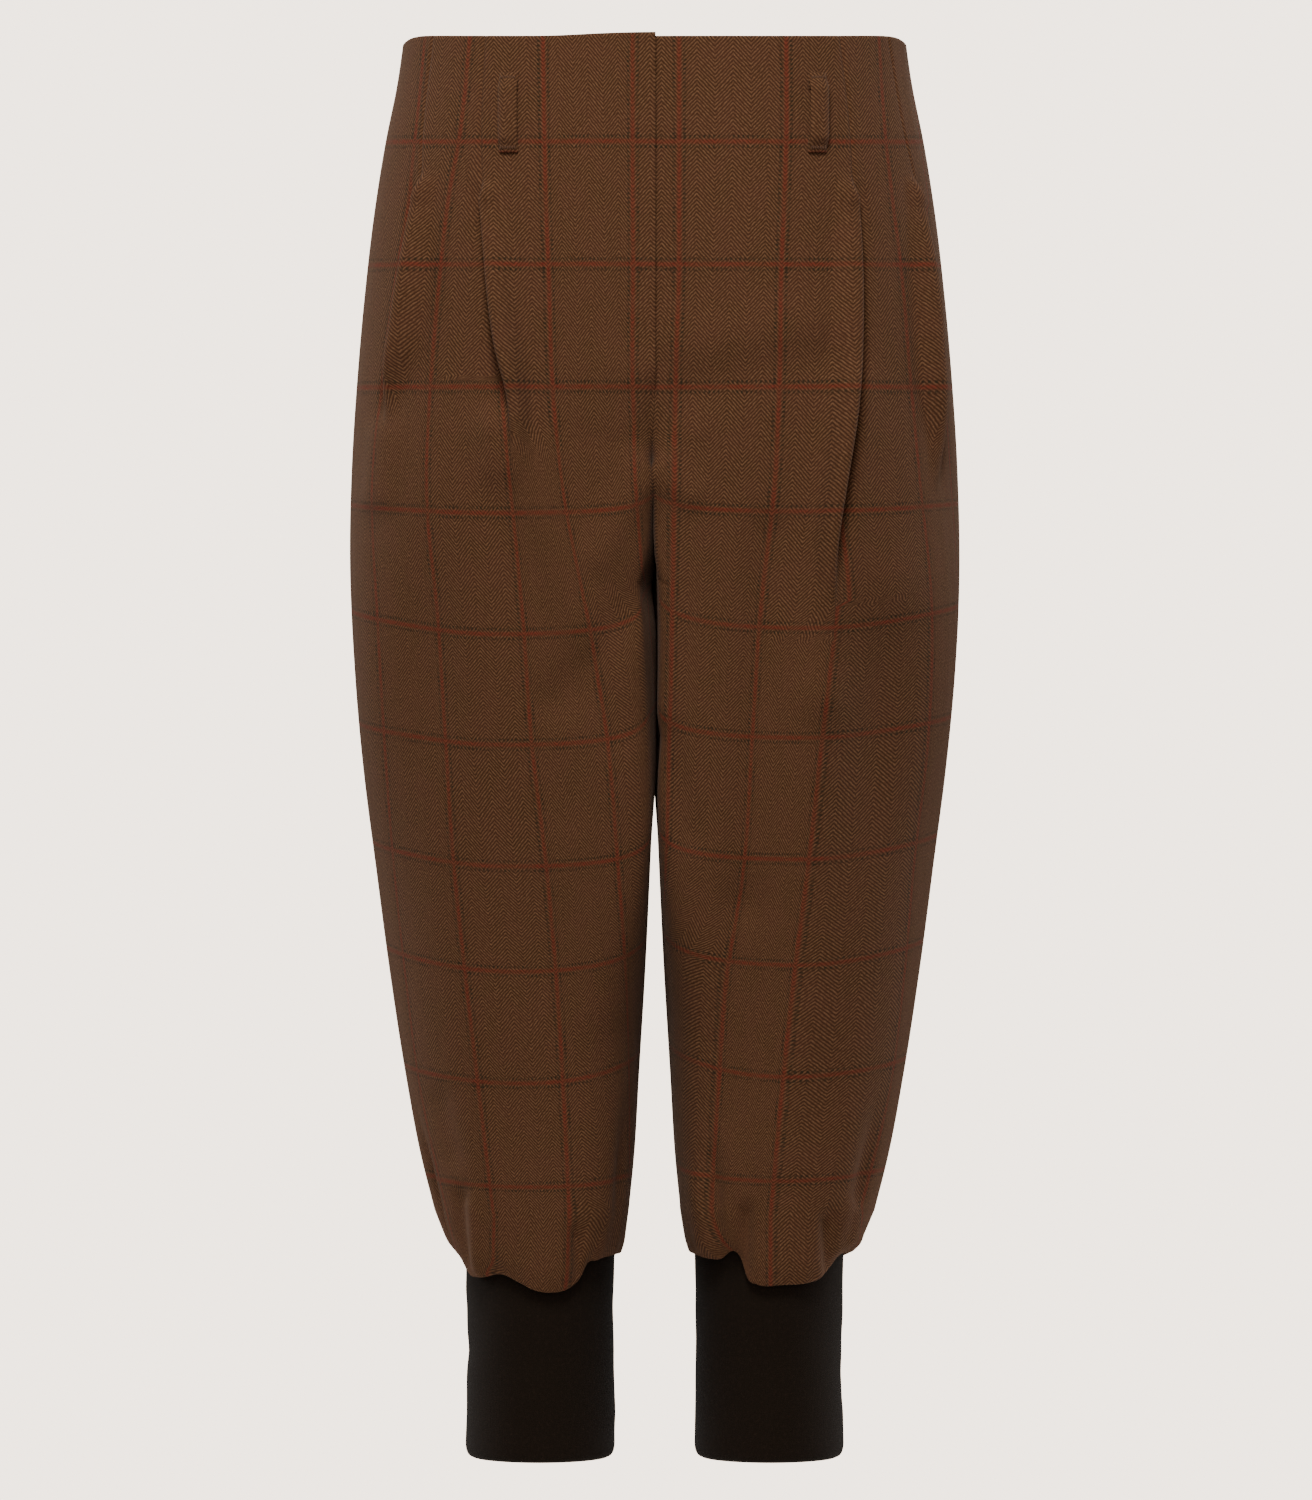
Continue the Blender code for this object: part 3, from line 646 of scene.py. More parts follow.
def line_places(side, row):
    """Returns the distance along a row where each line of the check crosses it, and the line's
    number. A line that has run off the front keeps its last distance from its neighbour."""
    table = LINES[side]
    front = row.turn <= 2
    x, drop, along = row.points[front, 0], -row.points[front, 2], row.along[front]
    places = {}
    for k in range(table.shape[1] - 1):
        known = table[table[:, k + 1] > 0]
        line = smooth_read(np.clip(drop, known[0, 0], known[-1, 0]), known[:, 0], known[:, k + 1])
        ahead = np.nonzero((x >= line) & (drop <= known[-1, 0] + 1) & (drop >= known[0, 0] - 1))[0]
        if k == 2 and drop[np.argmin(np.abs(x - line))] < known[0, 0]:
            continue
        if len(ahead) and ahead[0] > 0:
            i = ahead[0]
            share = (line[i - 1] - x[i - 1]) / max(x[i] - line[i] + line[i - 1] - x[i - 1], 1e-6)
            places[k] = along[i - 1] + share * (along[i] - along[i - 1])
    return places


def check_across(side, drop, row, columns, hides, spaces):
    """Returns the check's place across each column of a front."""
    places = line_places(side, row)
    for k, beside in ((0, 1), (4, 3)):
        if k in places and beside in places:
            spaces[k] = places[k] - places[beside]
        elif beside in places:
            places[k] = places[beside] + spaces.get(k, CHECK_WIDE * (k - beside) * 0.75)
    seen = sorted((place, k) for k, place in places.items())
    jumps = []
    for which, hide in enumerate(hides):
        place = (columns[hide - 1] + columns[hide]) / 2
        before = [s for s in seen if s[0] <= place]
        after = [s for s in seen if s[0] > place]
        if before and after:
            span = after[0][0] - before[-1][0]
            jump = max(0.0, after[0][1] - before[-1][1] - span / CHECK_WIDE)
        else:
            jump = OUTER_TUCK
        jumps.append((place, jump * pleat_fades(side, which, drop), hide))
    shifted = [(s, n - sum(j for p, j, _ in jumps if s > p)) for s, n in seen]
    first, last = shifted[0], shifted[-1]
    far = 400  # beyond every column
    xs = [first[0] - far] + [s for s, _ in shifted] + [last[0] + far]
    ys = [first[1] - far / CHECK_WIDE] + [n for _, n in shifted] + [last[1] + far / CHECK_WIDE]
    across = np.interp(under_lap_x(columns, drop) if side == "left" else columns, xs, ys)
    for _, jump, hide in jumps:
        across[hide:] += jump
    return across


def pleat_fades(side, which, drop):
    """Returns how much of a pleat's hidden cloth is still folded away at a drop."""
    shows = PLEATS_SHOW[side][which]
    return 1 - float(ease((drop - shows) / 30))


def lap_lift(drop, along):
    """Returns how far the fly's upper layer stands off, with a soft swell at its lower end."""
    rise = 1 - ease((drop - 212) / 26)
    swell = 1.0 * math.exp(-((drop - 196) / 14) ** 2)
    sewn = 1 - ease((drop - 190) / 20) * (1 - ease(along / 10))
    return (LAP_LIFT * rise + swell) * (1 - ease((along - UNDER_LAP - 4) / 34)) * sewn


def under_lap_x(x, drop):
    """Draws the first columns over the middle plane to make the under-lap, down to its end."""
    under = UNDER_LAP * (1 - ease((drop - UNDER_LAP_END) / 20))
    return np.where(x < UNDER_LAP_REACH, x - under * (1 - x / UNDER_LAP_REACH), x)


def panel_rows(side):
    """Returns each row of a panel with its drop, its stand-off and whether it is the hem."""
    rows = [(drop, Row(side, drop), -2 * ROLL) for drop in (FACING, 24, 16, 10, 6, 3)]
    for k in range(7):
        angle = math.pi * (1 - k / 6)
        drop = ROLL * (1 - math.sin(angle))
        rows.append((drop, Row(side, drop), ROLL * (math.cos(angle) - 1)))
    for drop in np.concatenate([[2.2, 4.2, 6.8], np.arange(10.0, HEM_START - 1, 3.35)]):
        rows.append((float(drop), Row(side, float(drop)), 0.0))
    for step in np.concatenate([np.arange(0, 4.01, 0.25), [4.25, 4.5, 4.75, 5, 6, 7]]):
        hem = [read_one(HEM_PATH, k, step) for k in (1, 2, 3)]
        rows.append((HEM_START + 1 + step, Row(side, HEM_START, hem), 0.0))
    return rows


def cloth_map(rows, points, across):
    """Returns the check's place across and down at every point of a panel."""
    down = np.zeros(points.shape[:2])
    for k, (drop, _, out) in enumerate(rows):
        if drop > HEM_START:
            down[k] = down[k - 1] + np.linalg.norm(points[k] - points[k - 1], axis=1)
        elif out == -2 * ROLL:
            down[k] = -read_one(CLOTH_DOWN, 1, drop)
        else:
            down[k] = read_one(CLOTH_DOWN, 1, drop)
    return np.dstack([across, (down - FIRST_LINE) / CHECK_TALL])


def front_surface(side, rows):
    """Returns the points of a front, a row at a time, and its cloth map."""
    surface, across, spaces = [], [], {}
    for drop, row, out in rows:
        columns, lifts, hides = front_columns(side, row, min(drop, HEM_START))
        end = columns[-1]
        lifts = lifts + out + seam_dip(end - columns)
        fly = 1 - ease((drop - 198) / 12)
        lifts = lifts + seam_dip(columns) * (1 - fly) * crotch_dip(drop)
        if side == "right":
            lifts = lifts + lap_lift(drop, columns)
            points = row.at(columns, lifts)
            points[0, 0] -= 0.6 * fly
            rise = (1 - ease(columns / 70)) * (1 - ease(drop / 60))
            points[:, 2] += LAP_RISE * rise
        else:
            points = row.at(columns, lifts)
            points[:, 0] = under_lap_x(points[:, 0], drop)
        surface.append(sway(points, side == "right"))
        if drop <= HEM_START:
            last = check_across(side, drop, row, columns, hides, spaces)
        across.append(last)
    points = np.array(surface)
    uv = cloth_map(rows, points, np.array(across))
    if side == "left":
        drops = np.array([r[0] for r in rows])
        uv[:, :, 1] += (4.5 / CHECK_TALL * ease((drops - 230) / 150))[:, None]
    return points, uv


def back_surface(side, rows, front_across):
    """Returns the points of a back and its cloth map, which carries on from the side seam."""
    surface, across = [], []
    for k, (drop, row, out) in enumerate(rows):
        start, end = row.side_along + SEAM / 2, row.along[-1]
        inner = np.linspace(start + SEAM_REACH, end - SEAM_REACH, 62)
        edges = np.array(EDGE_COLUMNS[:-1])
        columns = np.concatenate([start + edges, inner, end - edges[::-1]])
        lifts = out + seam_dip(columns - start) + seam_dip(end - columns) * crotch_dip(drop)
        surface.append(sway(row.at(columns, lifts), side == "right"))
        across.append(front_across[k] + (columns - start) / CHECK_WIDE)
    points = np.array(surface)
    return points, cloth_map(rows, points, np.array(across))


def add(tree, kind, inputs=(), out=0, **settings):
    """Adds a node with its settings, gives its inputs, by name or in order, values or links, and
    returns an output."""
    made = tree.nodes.new("ShaderNode" + kind)
    for name, value in settings.items():
        setattr(made, name, value)
    for socket, value in inputs.items() if isinstance(inputs, dict) else enumerate(inputs):
        if isinstance(value, bpy.types.NodeSocket):
            tree.links.new(value, made.inputs[socket])
        else:
            made.inputs[socket].default_value = value
    return made.outputs[out]


def begin(name, constants):
    """Starts a material, with the constants of its shader."""
    made = bpy.data.materials.new(name)
    made.use_nodes = True
    shader = made.node_tree.nodes["Principled BSDF"]
    for socket, value in constants.items():
        shader.inputs[socket].default_value = value
    return made, shader, partial(add, made.node_tree)


def join(made, shader, **outputs):
    """Links outputs to the shader's inputs, named with underscores for spaces."""
    for name, output in outputs.items():
        made.node_tree.links.new(output, shader.inputs[name.replace("_", " ")])
    return made


def herringbone_tweed(settings):
    """Woollen herringbone tweed, loosely spun and soft: dull, with a faint nap at its edges,
    flecked brown yarns, and a windowpane of red between dotted dark green threads."""
    made, shader, node = begin("herringbone_tweed", {
        "Roughness": 0.95, "Specular IOR Level": 0.12, "Sheen Weight": 0.1,
        "Sheen Roughness": 0.45, "Sheen Tint": linear("#D2B8A4")})
    u = node("SeparateXYZ", (node("UVMap", uv_map="Cloth"),))
    v = u.node.outputs[1]
    x = node("Math", (u, CHECK_WIDE), operation="MULTIPLY")
    y = node("Math", (v, CHECK_TALL), operation="MULTIPLY")
    place = node("CombineXYZ", (x, y))

    # Ribs of the twill, reversed every 10 mm. The real ones are 1.5 mm apart, drawn at 2.4
    drift = node("TexNoise", {"Vector": place, "Scale": 0.3, "Detail": 1.0})
    wander = node("Math", (drift, 1.2, -0.6), operation="MULTIPLY_ADD")
    positive = node("Math", (x, FAR_OFF), operation="ADD")
    zigzag = node("Math", (positive, RIB_TURN), operation="PINGPONG")
    level = node("Math", (y, wander), operation="ADD")
    along = node("Math", (zigzag, RIB_SLOPE, level), operation="MULTIPLY_ADD")
    angle = node("Math", (along, 2 * math.pi / RIB), operation="MULTIPLY")
    rib = node("Math", (angle,), operation="SINE")
    rib = node("Math", (rib, 0.4, 0.5), operation="MULTIPLY_ADD")

    # Flecks: single yarns of other browns, about 1 mm wide, and fuzz half as wide
    fleck = node("TexNoise", {"Vector": place, "Scale": 0.6, "Detail": 3.0, "Roughness": 0.7})
    fuzz = node("TexNoise", {"Vector": place, "Scale": 2.2, "Detail": 2.0})
    slow = node("TexNoise", {"Vector": place, "Scale": 0.05, "Detail": 2.0})
    crest = node("MapRange", {"Value": fleck, "From Min": 0.4, "From Max": 0.62, "To Min": 0.2})
    crest = node("Math", (crest, rib), operation="MULTIPLY")
    ground = node("Mix", {"Factor": crest, "A": settings.ground, "B": settings.light},
                  "Result", data_type="RGBA")
    furrow = node("Math", (1.0, rib), operation="SUBTRACT")
    uneven = node("Math", (fuzz, 0.8, 0.4), operation="MULTIPLY_ADD")
    furrow = node("Math", (furrow, uneven), operation="MULTIPLY")
    ground = node("Mix", {"Factor": furrow, "A": ground, "B": settings.dark},
                  "Result", data_type="RGBA")
    tone = node("MapRange", {"Value": slow, "From Min": 0.35, "From Max": 0.65, "To Max": 0.1})
    colour = node("Mix", {"Factor": tone, "A": ground, "B": linear("#6A3A34")},
                  "Result", data_type="RGBA")

    # The windowpane: a red line between two dotted dark green ones, in each direction
    cover = node("MapRange", {"Value": fleck, "From Min": 0.36, "From Max": 0.56, "To Min": 0.25})
    raised = node("Math", (rib, 0.6, 0.4), operation="MULTIPLY_ADD")
    cover = node("Math", (cover, raised), operation="MULTIPLY")
    patch = node("TexNoise", {"Vector": place, "Scale": 0.09, "Detail": 2.0})
    patch = node("MapRange", {"Value": patch, "From Min": 0.35, "From Max": 0.62, "To Min": 0.3})
    worn = node("Math", (patch, 0.72), operation="MULTIPLY")
    reds = []
    for line, pitch, other in ((u, CHECK_WIDE, y), (v, CHECK_TALL, x)):
        share = node("Math", (line, FAR_OFF), operation="ADD")
        share = node("Math", (share, 0.5), operation="PINGPONG")
        off = node("Math", (share, pitch), operation="MULTIPLY")
        reds.append(node("MapRange", {"Value": off, "From Min": 1.8, "From Max": 0.7}))
        ring = node("Math", (off, GREEN_OFF), operation="SUBTRACT")
        ring = node("Math", (ring,), operation="ABSOLUTE")
        green = node("MapRange", {"Value": ring, "From Min": 1.1, "From Max": 0.6})
        dots = node("Math", (other, 2 * math.pi / DOTS), operation="MULTIPLY")
        dots = node("Math", (dots,), operation="SINE")
        dots = node("MapRange", {"Value": dots, "From Min": -0.3, "From Max": 0.6, "To Min": 0.05})
        green = node("Math", (green, dots), operation="MULTIPLY")
        green = node("Math", (green, worn), operation="MULTIPLY")
        colour = node("Mix", {"Factor": green, "A": colour, "B": settings.green},
                      "Result", data_type="RGBA")
    red = node("Math", (reds[0], reds[1]), operation="MAXIMUM")
    red = node("Math", (red, cover), operation="MULTIPLY")
    faded = node("Math", (patch, 0.52, 0.24), operation="MULTIPLY_ADD")
    red = node("Math", (red, faded), operation="MULTIPLY")
    colour = node("Mix", {"Factor": red, "A": colour, "B": settings.red},
                  "Result", data_type="RGBA")
    height = node("Math", (fuzz, 0.9, rib), operation="MULTIPLY_ADD")
    bump = node("Bump", {"Height": height, "Strength": 0.35, "Distance": 0.0004})
    return join(made, shader, Base_Color=colour, Normal=bump)


def ribbed_knit(settings):
    """Fine black jersey knit, doubled: smooth and dull, its stitches in close upright columns
    about 1.2 mm apart."""
    made, shader, node = begin("black_knit", {
        "Roughness": 0.88, "Specular IOR Level": 0.08, "Sheen Weight": 0.03,
        "Sheen Roughness": 0.5})
    x = node("SeparateXYZ", (node("UVMap", uv_map="Cloth"),))
    y = x.node.outputs[1]
    place = node("CombineXYZ", (x, y))
    positive = node("Math", (x, FAR_OFF), operation="ADD")
    wale = node("Math", (positive, 0.6), operation="PINGPONG")
    slant = node("Math", (wale, 1.4, y), operation="MULTIPLY_ADD")
    angle = node("Math", (slant, 2 * math.pi / 1.3), operation="MULTIPLY")
    stitch = node("Math", (angle,), operation="SINE")
    lint = node("TexNoise", {"Vector": place, "Scale": 0.4, "Detail": 4.0, "Roughness": 0.75})
    lint = node("MapRange", {"Value": lint, "From Min": 0.5, "From Max": 0.75, "To Max": 0.35})
    colour = node("Mix", {"Factor": lint, "A": settings.colour, "B": linear("#33241A")},
                  "Result", data_type="RGBA")
    worn = node("TexNoise", {"Vector": place, "Scale": 0.03, "Detail": 2.0})
    worn = node("Math", (worn, 0.35), operation="MULTIPLY")
    colour = node("Mix", {"Factor": worn, "A": colour, "B": linear("#1E160F")},
                  "Result", data_type="RGBA")
    ridge = node("Math", (wale, 1.2), operation="MULTIPLY")
    height = node("Math", (stitch, 0.5, ridge), operation="MULTIPLY_ADD")
    bump = node("Bump", {"Height": height, "Strength": 0.3, "Distance": 0.0003})
    return join(made, shader, Base_Color=colour, Normal=bump)


def brown_thread():
    """Matt spun polyester sewing thread in the cloth's brown."""
    made, shader, node = begin("brown_thread", {"Roughness": 0.8})
    place = node("TexCoord", out="Object")
    noise = node("TexNoise", {"Vector": place, "Scale": 2500.0})
    colour = node("Mix", {"Factor": noise, "A": linear("#3A2415"), "B": linear("#6B4428")},
                  "Result", data_type="RGBA")
    return join(made, shader, Base_Color=colour)


def studio_paper(settings):
    """Matt studio paper, its edge fading into the backdrop, seen from above only."""
    made, shader, node = begin("studio_paper", {
        "Base Color": settings.paper, "Roughness": 1.0, "Specular IOR Level": 0.0})
    level = node("VectorMath", (node("TexCoord", out="Object"), (1, 1, 0)), operation="MULTIPLY")
    away = node("VectorMath", (level,), "Value", operation="LENGTH")
    fade = node("MapRange", {"Value": away, "From Min": 0.35, "From Max": 0.97, "To Min": 1.0,
                             "To Max": 0.0}, interpolation_type="SMOOTHSTEP")
    below = node("NewGeometry", out="Backfacing")
    above = node("Math", (1.0, below), operation="SUBTRACT")
    shown = node("Math", (fade, above), operation="MULTIPLY")
    return join(made, shader, Alpha=shown)


def linked(name, data):
    """Puts an object in the scene."""
    thing = bpy.data.objects.new(name, data)
    bpy.context.scene.collection.objects.link(thing)
    return thing


def shaped(name, build, made):
    """Makes an object of the mesh built, in one material."""
    mesh = bpy.data.meshes.new(name)
    build.to_mesh(mesh)
    build.free()
    mesh.materials.append(made)
    return linked(name, mesh)


def cloth_object(name, points, uv, made, mirrored, thickness, closed=False):
    """Makes a sheet of cloth from a grid of points in millimetres, with its cloth map."""
    rows, columns = points.shape[:2]
    if mirrored:
        points = points * np.array([-1.0, 1.0, 1.0])
    build = bmesh.new()
    layer = build.loops.layers.uv.new("Cloth")
    bmesh.ops.create_grid(build, x_segments=columns - 1, y_segments=rows - 1, size=1)
    build.verts.ensure_lookup_table()
    flat_points = points.reshape(-1, 3) * MM
    flat_uv = uv.reshape(-1, 2)
    for index, vertex in enumerate(build.verts):
        vertex.co = flat_points[index]
    for face in build.faces:
        face.smooth = True
        for loop in face.loops:
            loop[layer].uv = flat_uv[loop.vert.index]
    if not mirrored:
        bmesh.ops.reverse_faces(build, faces=build.faces)
    if closed:
        bmesh.ops.remove_doubles(build, verts=build.verts, dist=2e-6)
    piece = shaped(name, build, made)
    if thickness:
        wall = piece.modifiers.new("Wall", "SOLIDIFY")
        wall.thickness = thickness
        wall.offset = 0.0
    return piece


def settle(piece, node):
    """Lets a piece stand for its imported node."""
    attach(piece, "root")
    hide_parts(node)


def finished(name, make, *settings):
    """Returns the material of a name, made once."""
    return bpy.data.materials.get(name) or make(*settings)


class BREECHES_OT_panels(bpy.types.Operator):
    """Cut the two fronts and two backs of tweed, pleated and bloused at the hem"""
    bl_idname = "breeches.panels"
    bl_label = "Tweed panels"

    def execute(self, context):
        settings = context.scene.breeches_tweed
        tweed = finished("herringbone_tweed", herringbone_tweed, settings)
        for side in ("right", "left"):
            rows = panel_rows(side)
            mirrored = side == "right"
            points, uv = front_surface(side, rows)
            front = cloth_object(f"tweed_front_{side}", points, uv, tweed, mirrored,
                                 settings.thickness)
            settle(front, f"front_{side}")
            points, uv = back_surface(side, rows, uv[:, -1, 0])
            back = cloth_object(f"tweed_back_{side}", points, uv, tweed, mirrored,
                                settings.thickness)
            settle(back, f"back_{side}")
        return {"FINISHED"}


class BREECHES_OT_cuffs(bpy.types.Operator):
    """Knit the two close cuffs, doubled and turned at their lower edge"""
    bl_idname = "breeches.cuffs"
    bl_label = "Knitted cuffs"

    def execute(self, context):
        settings = context.scene.breeches_cuffs
        knit = finished("black_knit", ribbed_knit, settings)
        thick = settings.thickness / MM
        for side, seed in (("right", 3), ("left", 8)):
            points, uv = cuff_surface(thick, seed)
            cuff = cloth_object(f"knit_cuff_{side}", points, uv, knit, side == "right", 0,
                                closed=True)
            settle(cuff, f"cuff_{side}")
        return {"FINISHED"}


def cuff_surface(thick, seed):
    """Returns a closed tube of knit: up inside, over its hidden top, down outside, and round
    the turn at its lower edge."""
    draw = np.random.default_rng(seed)
    turns = np.linspace(0, 4, 145)
    profile = [(CUFF_TOP + 1.0, -thick + 0.3)]
    profile += [(CUFF_TOP, -thick / 2), (CUFF_TOP + 1.0, -0.3)]
    for drop in np.arange(CUFF_TOP + 4, CUFF_END - 9, 3.0):
        profile.append((float(drop), 0.0))
    for k in range(9):
        angle = k / 8 * math.pi / 2
        profile.append((CUFF_END - CUFF_ROUND * (1 - math.sin(angle)),
                        -3.4 * (1 - math.cos(angle))))
    profile += [(CUFF_END + 0.5, -4.2), (CUFF_END - 0.4, -5.2), (CUFF_END - 2.5, -5.4),
                (CUFF_END - 6, -4.4)]
    for drop in np.arange(CUFF_END - 10, CUFF_TOP + 3, -8.0):
        profile.append((float(drop), -thick - 0.2))
    profile.append(profile[0])
    waves = [(draw.uniform(0, 4), draw.uniform(715, 800), draw.uniform(0.25, 0.6),
              draw.uniform(5, 14), draw.uniform(-0.7, 0.7)) for _ in range(26)]
    rows, uv = [], []
    walked = 0.0
    for k, (drop, out) in enumerate(profile):
        if k:
            walked += math.hypot(drop - profile[k - 1][0], out - profile[k - 1][1])
        waisted = -0.9 * math.sin(math.pi * (drop - CUFF_TOP) / (CUFF_END - CUFF_TOP))
        relief = np.zeros(len(turns))
        for at, level, wide, tall, height in waves:
            gap = np.abs((turns - at + 2) % 4 - 2)
            relief += height * np.exp(-(gap / wide) ** 2 - ((drop - level) / tall) ** 2)
        ring = cuff_ring(turns, out + waisted + relief)
        rows.append(np.column_stack([ring, np.full(len(turns), -drop)]))
        uv.append(np.column_stack([turns / 4 * CUFF_GIRTH, np.full(len(turns), -walked)]))
    return np.array(rows), np.array(uv)


LOOPS = (
    # node, side, place along the front or past the side seam, on the back, in its middle, stand
    ("loop_front_right", "right", 82.5, False, False, 3.0),
    ("loop_front_left", "left", 92.0, False, False, 4.2),
    ("loop_side_right", "right", 62.0, True, False, LOOP_STAND),
    ("loop_side_left", "left", 62.0, True, False, LOOP_STAND),
    ("loop_back", "left", 0.0, True, True, LOOP_STAND),
)


def loop_path(stand):
    """Returns how far down and out the middle of a loop's strip runs, turned in at each end."""
    long = LOOP_END - LOOP_TOP
    top = [(9, 0), (6, 0), (3, 0), (0.7, 0), (0.25, 0.15), (0, 0.5), (0.25, 0.85), (0.7, 1.0)]
    path = [(d, LOOP_SEAT + h) for d, h in top]
    for k in range(1, 24):
        t = k / 24
        down = 0.7 + t * (long - 1.4)
        path.append((down, LOOP_SEAT + 1.0 + stand * float(ease(t / 0.2) * ease((1 - t) / 0.2))))
    path += [(long - d, LOOP_SEAT + h) for d, h in reversed(top)]
    return path


def loop_surface(side, place, on_back, middle, stand):
    """Returns a belt loop's strip, its cloth map and the places of its bar tacks."""
    rows, uv, tacks = [], [], []
    across = np.linspace(-LOOP_WIDTH / 2, LOOP_WIDTH / 2, LOOP_COLUMNS)
    bow = (np.abs(across) / (LOOP_WIDTH / 2)) ** 4  # its edges turn in toward the cloth
    for down, out in loop_path(stand):
        sag = -min(1.7, max(0.0, out - LOOP_SEAT) + 0.2) * bow
        drop = LOOP_TOP + down - FRONT_DIP * (1 - LOOP_TOP / EYE_DROP)
        row = Row(side, drop)
        if middle:
            centre = row.along[-1]
            base = row.at([centre], out)[0]
            rows.append(np.column_stack([-across, base[1] + sag, np.full(LOOP_COLUMNS, base[2])]))
            beside = np.array([-1.0, 0.0, 0.0])
        else:
            centre = row.side_along + place if on_back else row.find(place)
            base = row.at([centre], out)[0]
            ends = row.at([centre - 1, centre + 1], out)
            beside = ends[1] - ends[0]
            beside /= np.linalg.norm(beside)
            normal = np.array([beside[1], -beside[0], 0.0])
            rows.append(base + across[:, None] * beside + sag[:, None] * normal)
        u, v = LOOP_CUT
        uv.append(pair(u + across / CHECK_WIDE, v + down / CHECK_TALL))
        for level in (TACK_INSET, LOOP_END - LOOP_TOP - TACK_INSET):
            if abs(down - level) < 1.0 and out > CLOTH / 2 + 1.6:
                tacks.append((base, beside))
    return np.array(rows), np.array(uv), tacks


class BREECHES_OT_loops(bpy.types.Operator):
    """Fold the five belt loops and tack them down"""
    bl_idname = "breeches.loops"
    bl_label = "Belt loops"

    def execute(self, context):
        settings = context.scene.breeches_tweed
        tweed = finished("herringbone_tweed", herringbone_tweed, settings)
        thread = finished("brown_thread", brown_thread)
        for node, side, place, on_back, middle, stand in LOOPS:
            points, uv, tacks = loop_surface(side, place, on_back, middle, stand)
            mirrored = side == "right"
            loop = cloth_object(f"tweed_{node}", points, uv, tweed, mirrored, 0.8 * MM)
            edge = loop.modifiers.new("Edge", "BEVEL")
            edge.width = 0.3 * MM
            edge.segments = 2
            edge.limit_method = "ANGLE"
            settle(loop, node)
            stitches = bar_tacks(f"tacks_{node}", tacks, mirrored, thread)
            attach(stitches, "root")
        return {"FINISHED"}


def bar_tacks(name, places, mirrored, made):
    """Sews a close row of short stitches across a loop at each place."""
    build = bmesh.new()
    for centre, beside in places:
        normal = np.array([beside[1], -beside[0], 0.0])
        for k in range(TACK_STITCHES):
            at = (k - (TACK_STITCHES - 1) / 2) * TACK_PITCH
            spot = centre + beside * at + normal * 0.55
            fresh = bmesh.ops.create_uvsphere(build, u_segments=6, v_segments=4, radius=0.5)
            for vertex in fresh["verts"]:
                local = vertex.co.copy()
                move = (beside * local.x * 0.8 + np.array([0, 0, 1.0]) * local.z * 2.3
                        + normal * local.y * 0.7)
                vertex.co = Vector((spot + move) * MM)
    if mirrored:
        bmesh.ops.scale(build, vec=(-1, 1, 1), verts=build.verts)
    bmesh.ops.recalc_face_normals(build, faces=build.faces)
    piece = shaped(name, build, made)
    piece.data.shade_smooth()
    return piece


LAMPS = (
    # name, place, what it points at, size, share of the key light's power
    ("key", (-0.2, -1.85, 1.8), (0, 0, 0), 1.1, 1.0),
    ("front", (-0.12, -2.7, 0.6), (0, 0, -0.2), 1.2, 0.24),
    ("left", (-2.2, 0.9, 0.2), (0, 0, -0.3), 1.4, 0.42),
    ("right", (2.2, 0.9, 0.2), (0, 0, -0.3), 1.4, 0.42),
    ("back", (0.3, 2.4, 1.3), (0, 0, -0.2), 1.2, 0.7),
)
CAMERA = (0.0008, -4.5, -0.414)
LENS = 124.1           # with a sensor 24 mm tall
FLOOR = -0.95          # the paper's height
FLOOR_RADIUS = 0.98


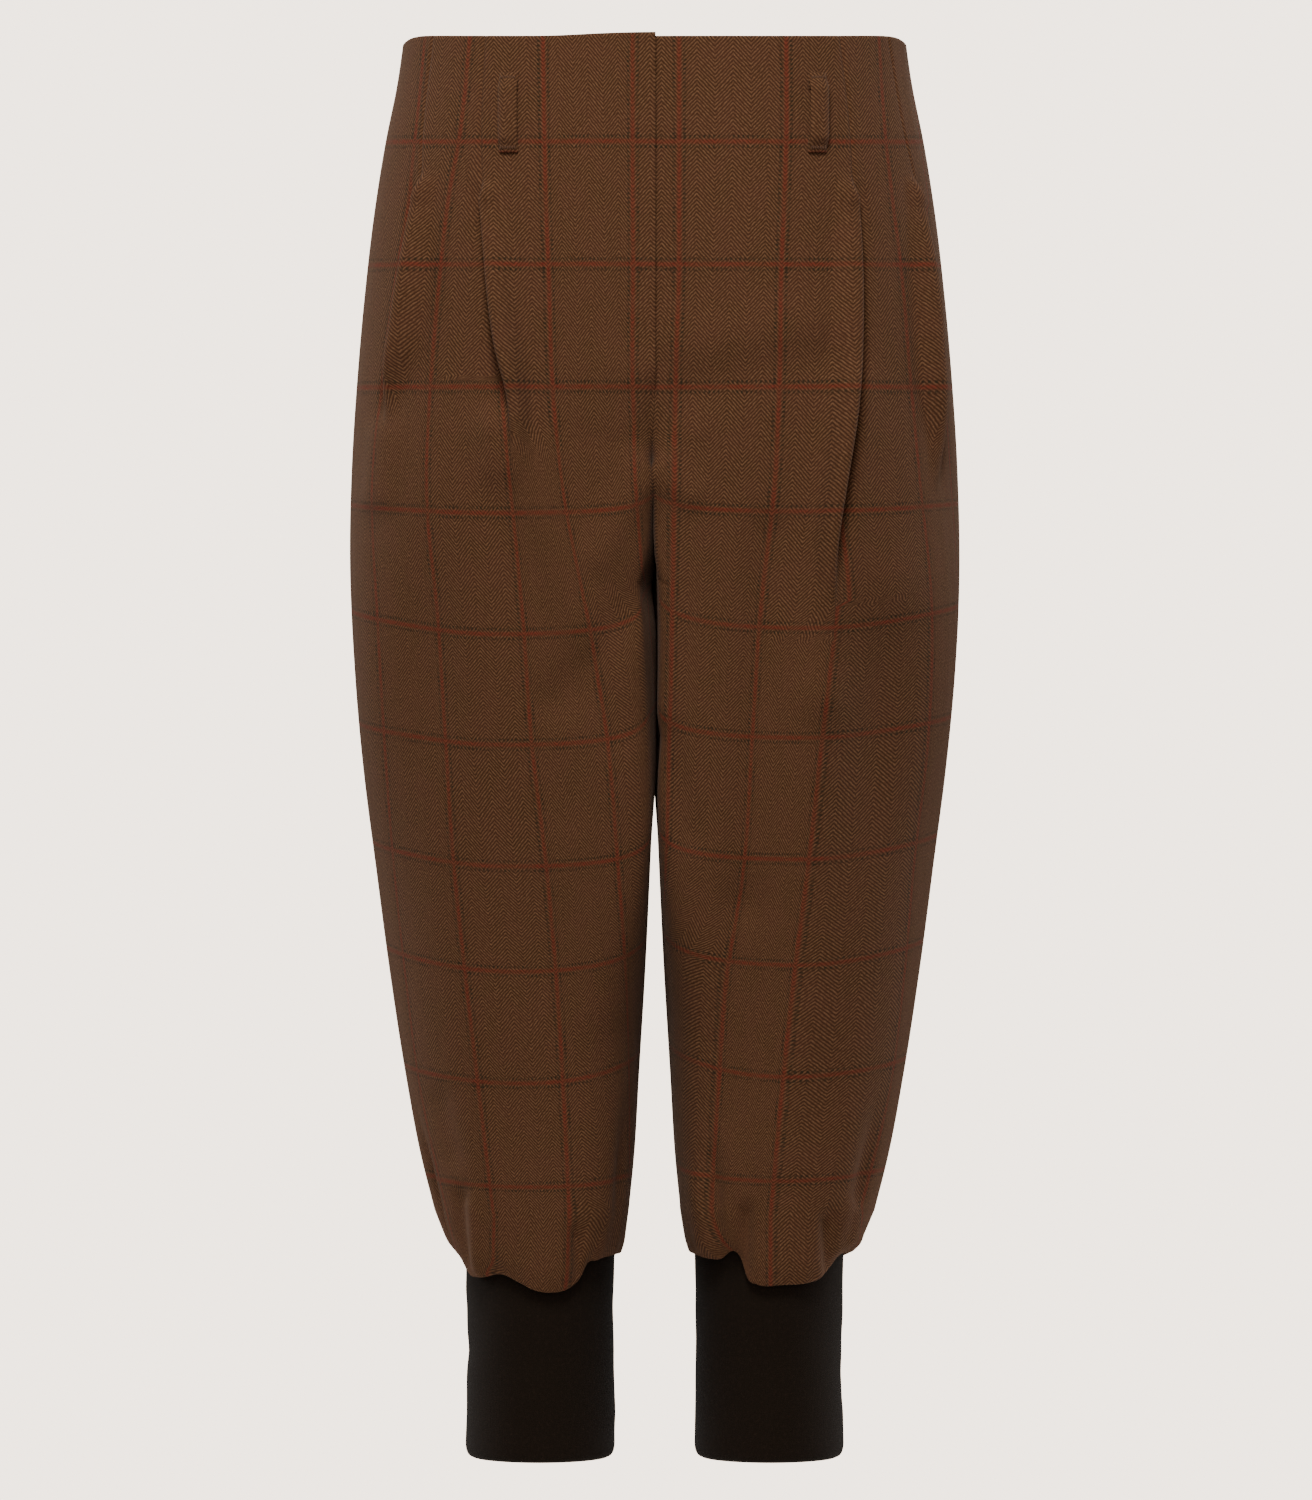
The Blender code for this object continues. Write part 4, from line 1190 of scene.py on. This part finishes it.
class BREECHES_OT_stage(bpy.types.Operator):
    """Set the paper, lights and camera"""
    bl_idname = "breeches.stage"
    bl_label = "Stage"

    def execute(self, context):
        settings = context.scene.breeches_stage
        build = bmesh.new()
        bmesh.ops.create_circle(build, cap_ends=True, segments=96, radius=FLOOR_RADIUS)
        bmesh.ops.translate(build, vec=(0, 0, FLOOR), verts=build.verts)
        floor = shaped("floor", build, studio_paper(settings))

        world = bpy.data.worlds.new("studio")
        world.use_nodes = True
        tree = world.node_tree
        sky = tree.nodes["Background"]
        sky.inputs["Color"].default_value = linear("#F6F1EC")
        sky.inputs["Strength"].default_value = settings.fill
        wall = add(tree, "Background", {"Color": settings.backdrop, "Strength": settings.glow})
        seen = add(tree, "LightPath", out="Is Camera Ray")
        both = add(tree, "MixShader", (seen, sky.outputs[0], wall))
        tree.links.new(both, tree.nodes["World Output"].inputs["Surface"])
        context.scene.world = world
        for name, place, target, size, share in LAMPS:
            light = bpy.data.lights.new(name, "AREA")
            light.shape = "DISK"
            light.size = size
            light.energy = settings.key * share
            lamp = linked(name, light)
            lamp.location = place
            aim = Vector(target) - Vector(place)
            lamp.rotation_euler = aim.to_track_quat("-Z", "Y").to_euler()

        lens = bpy.data.cameras.new("camera")
        lens.sensor_fit = "VERTICAL"
        lens.sensor_height = 24
        lens.lens = LENS
        lens.clip_end = 50
        camera = linked("camera", lens)
        camera.location = CAMERA
        camera.rotation_euler = (math.pi / 2, 0, 0)
        context.scene.camera = camera
        return {"FINISHED"}


class BREECHES_PT_panel(bpy.types.Panel):
    """The breeches' pieces and settings"""
    bl_idname = "BREECHES_PT_panel"
    bl_label = "Breeches"
    bl_space_type = "VIEW_3D"
    bl_region_type = "UI"
    bl_category = "Breeches"

    def draw(self, context):
        for group in ("breeches_tweed", "breeches_cuffs", "breeches_stage"):
            settings = getattr(context.scene, group)
            for name in settings.bl_rna.properties.keys():
                if name not in ("rna_type", "name"):
                    self.layout.prop(settings, name)
        for operator in OPERATORS:
            self.layout.operator(operator.bl_idname)


GROUPS = (("breeches_tweed", TweedSettings), ("breeches_cuffs", CuffSettings),
          ("breeches_stage", StageSettings))
OPERATORS = (BREECHES_OT_stage, BREECHES_OT_panels, BREECHES_OT_cuffs, BREECHES_OT_loops)


def register():
    for name, group in GROUPS:
        bpy.utils.register_class(group)
        setattr(bpy.types.Scene, name, PointerProperty(type=group))
    for kind in OPERATORS + (BREECHES_PT_panel,):
        bpy.utils.register_class(kind)


def unregister():
    for kind in (BREECHES_PT_panel,) + OPERATORS[::-1]:
        bpy.utils.unregister_class(kind)
    for name, group in GROUPS[::-1]:
        delattr(bpy.types.Scene, name)
        bpy.utils.unregister_class(group)


def main():
    register()
    bpy.ops.breeches.stage()
    bpy.ops.breeches.panels()
    bpy.ops.breeches.cuffs()
    bpy.ops.breeches.loops()


if __name__ == "__main__":
    main()
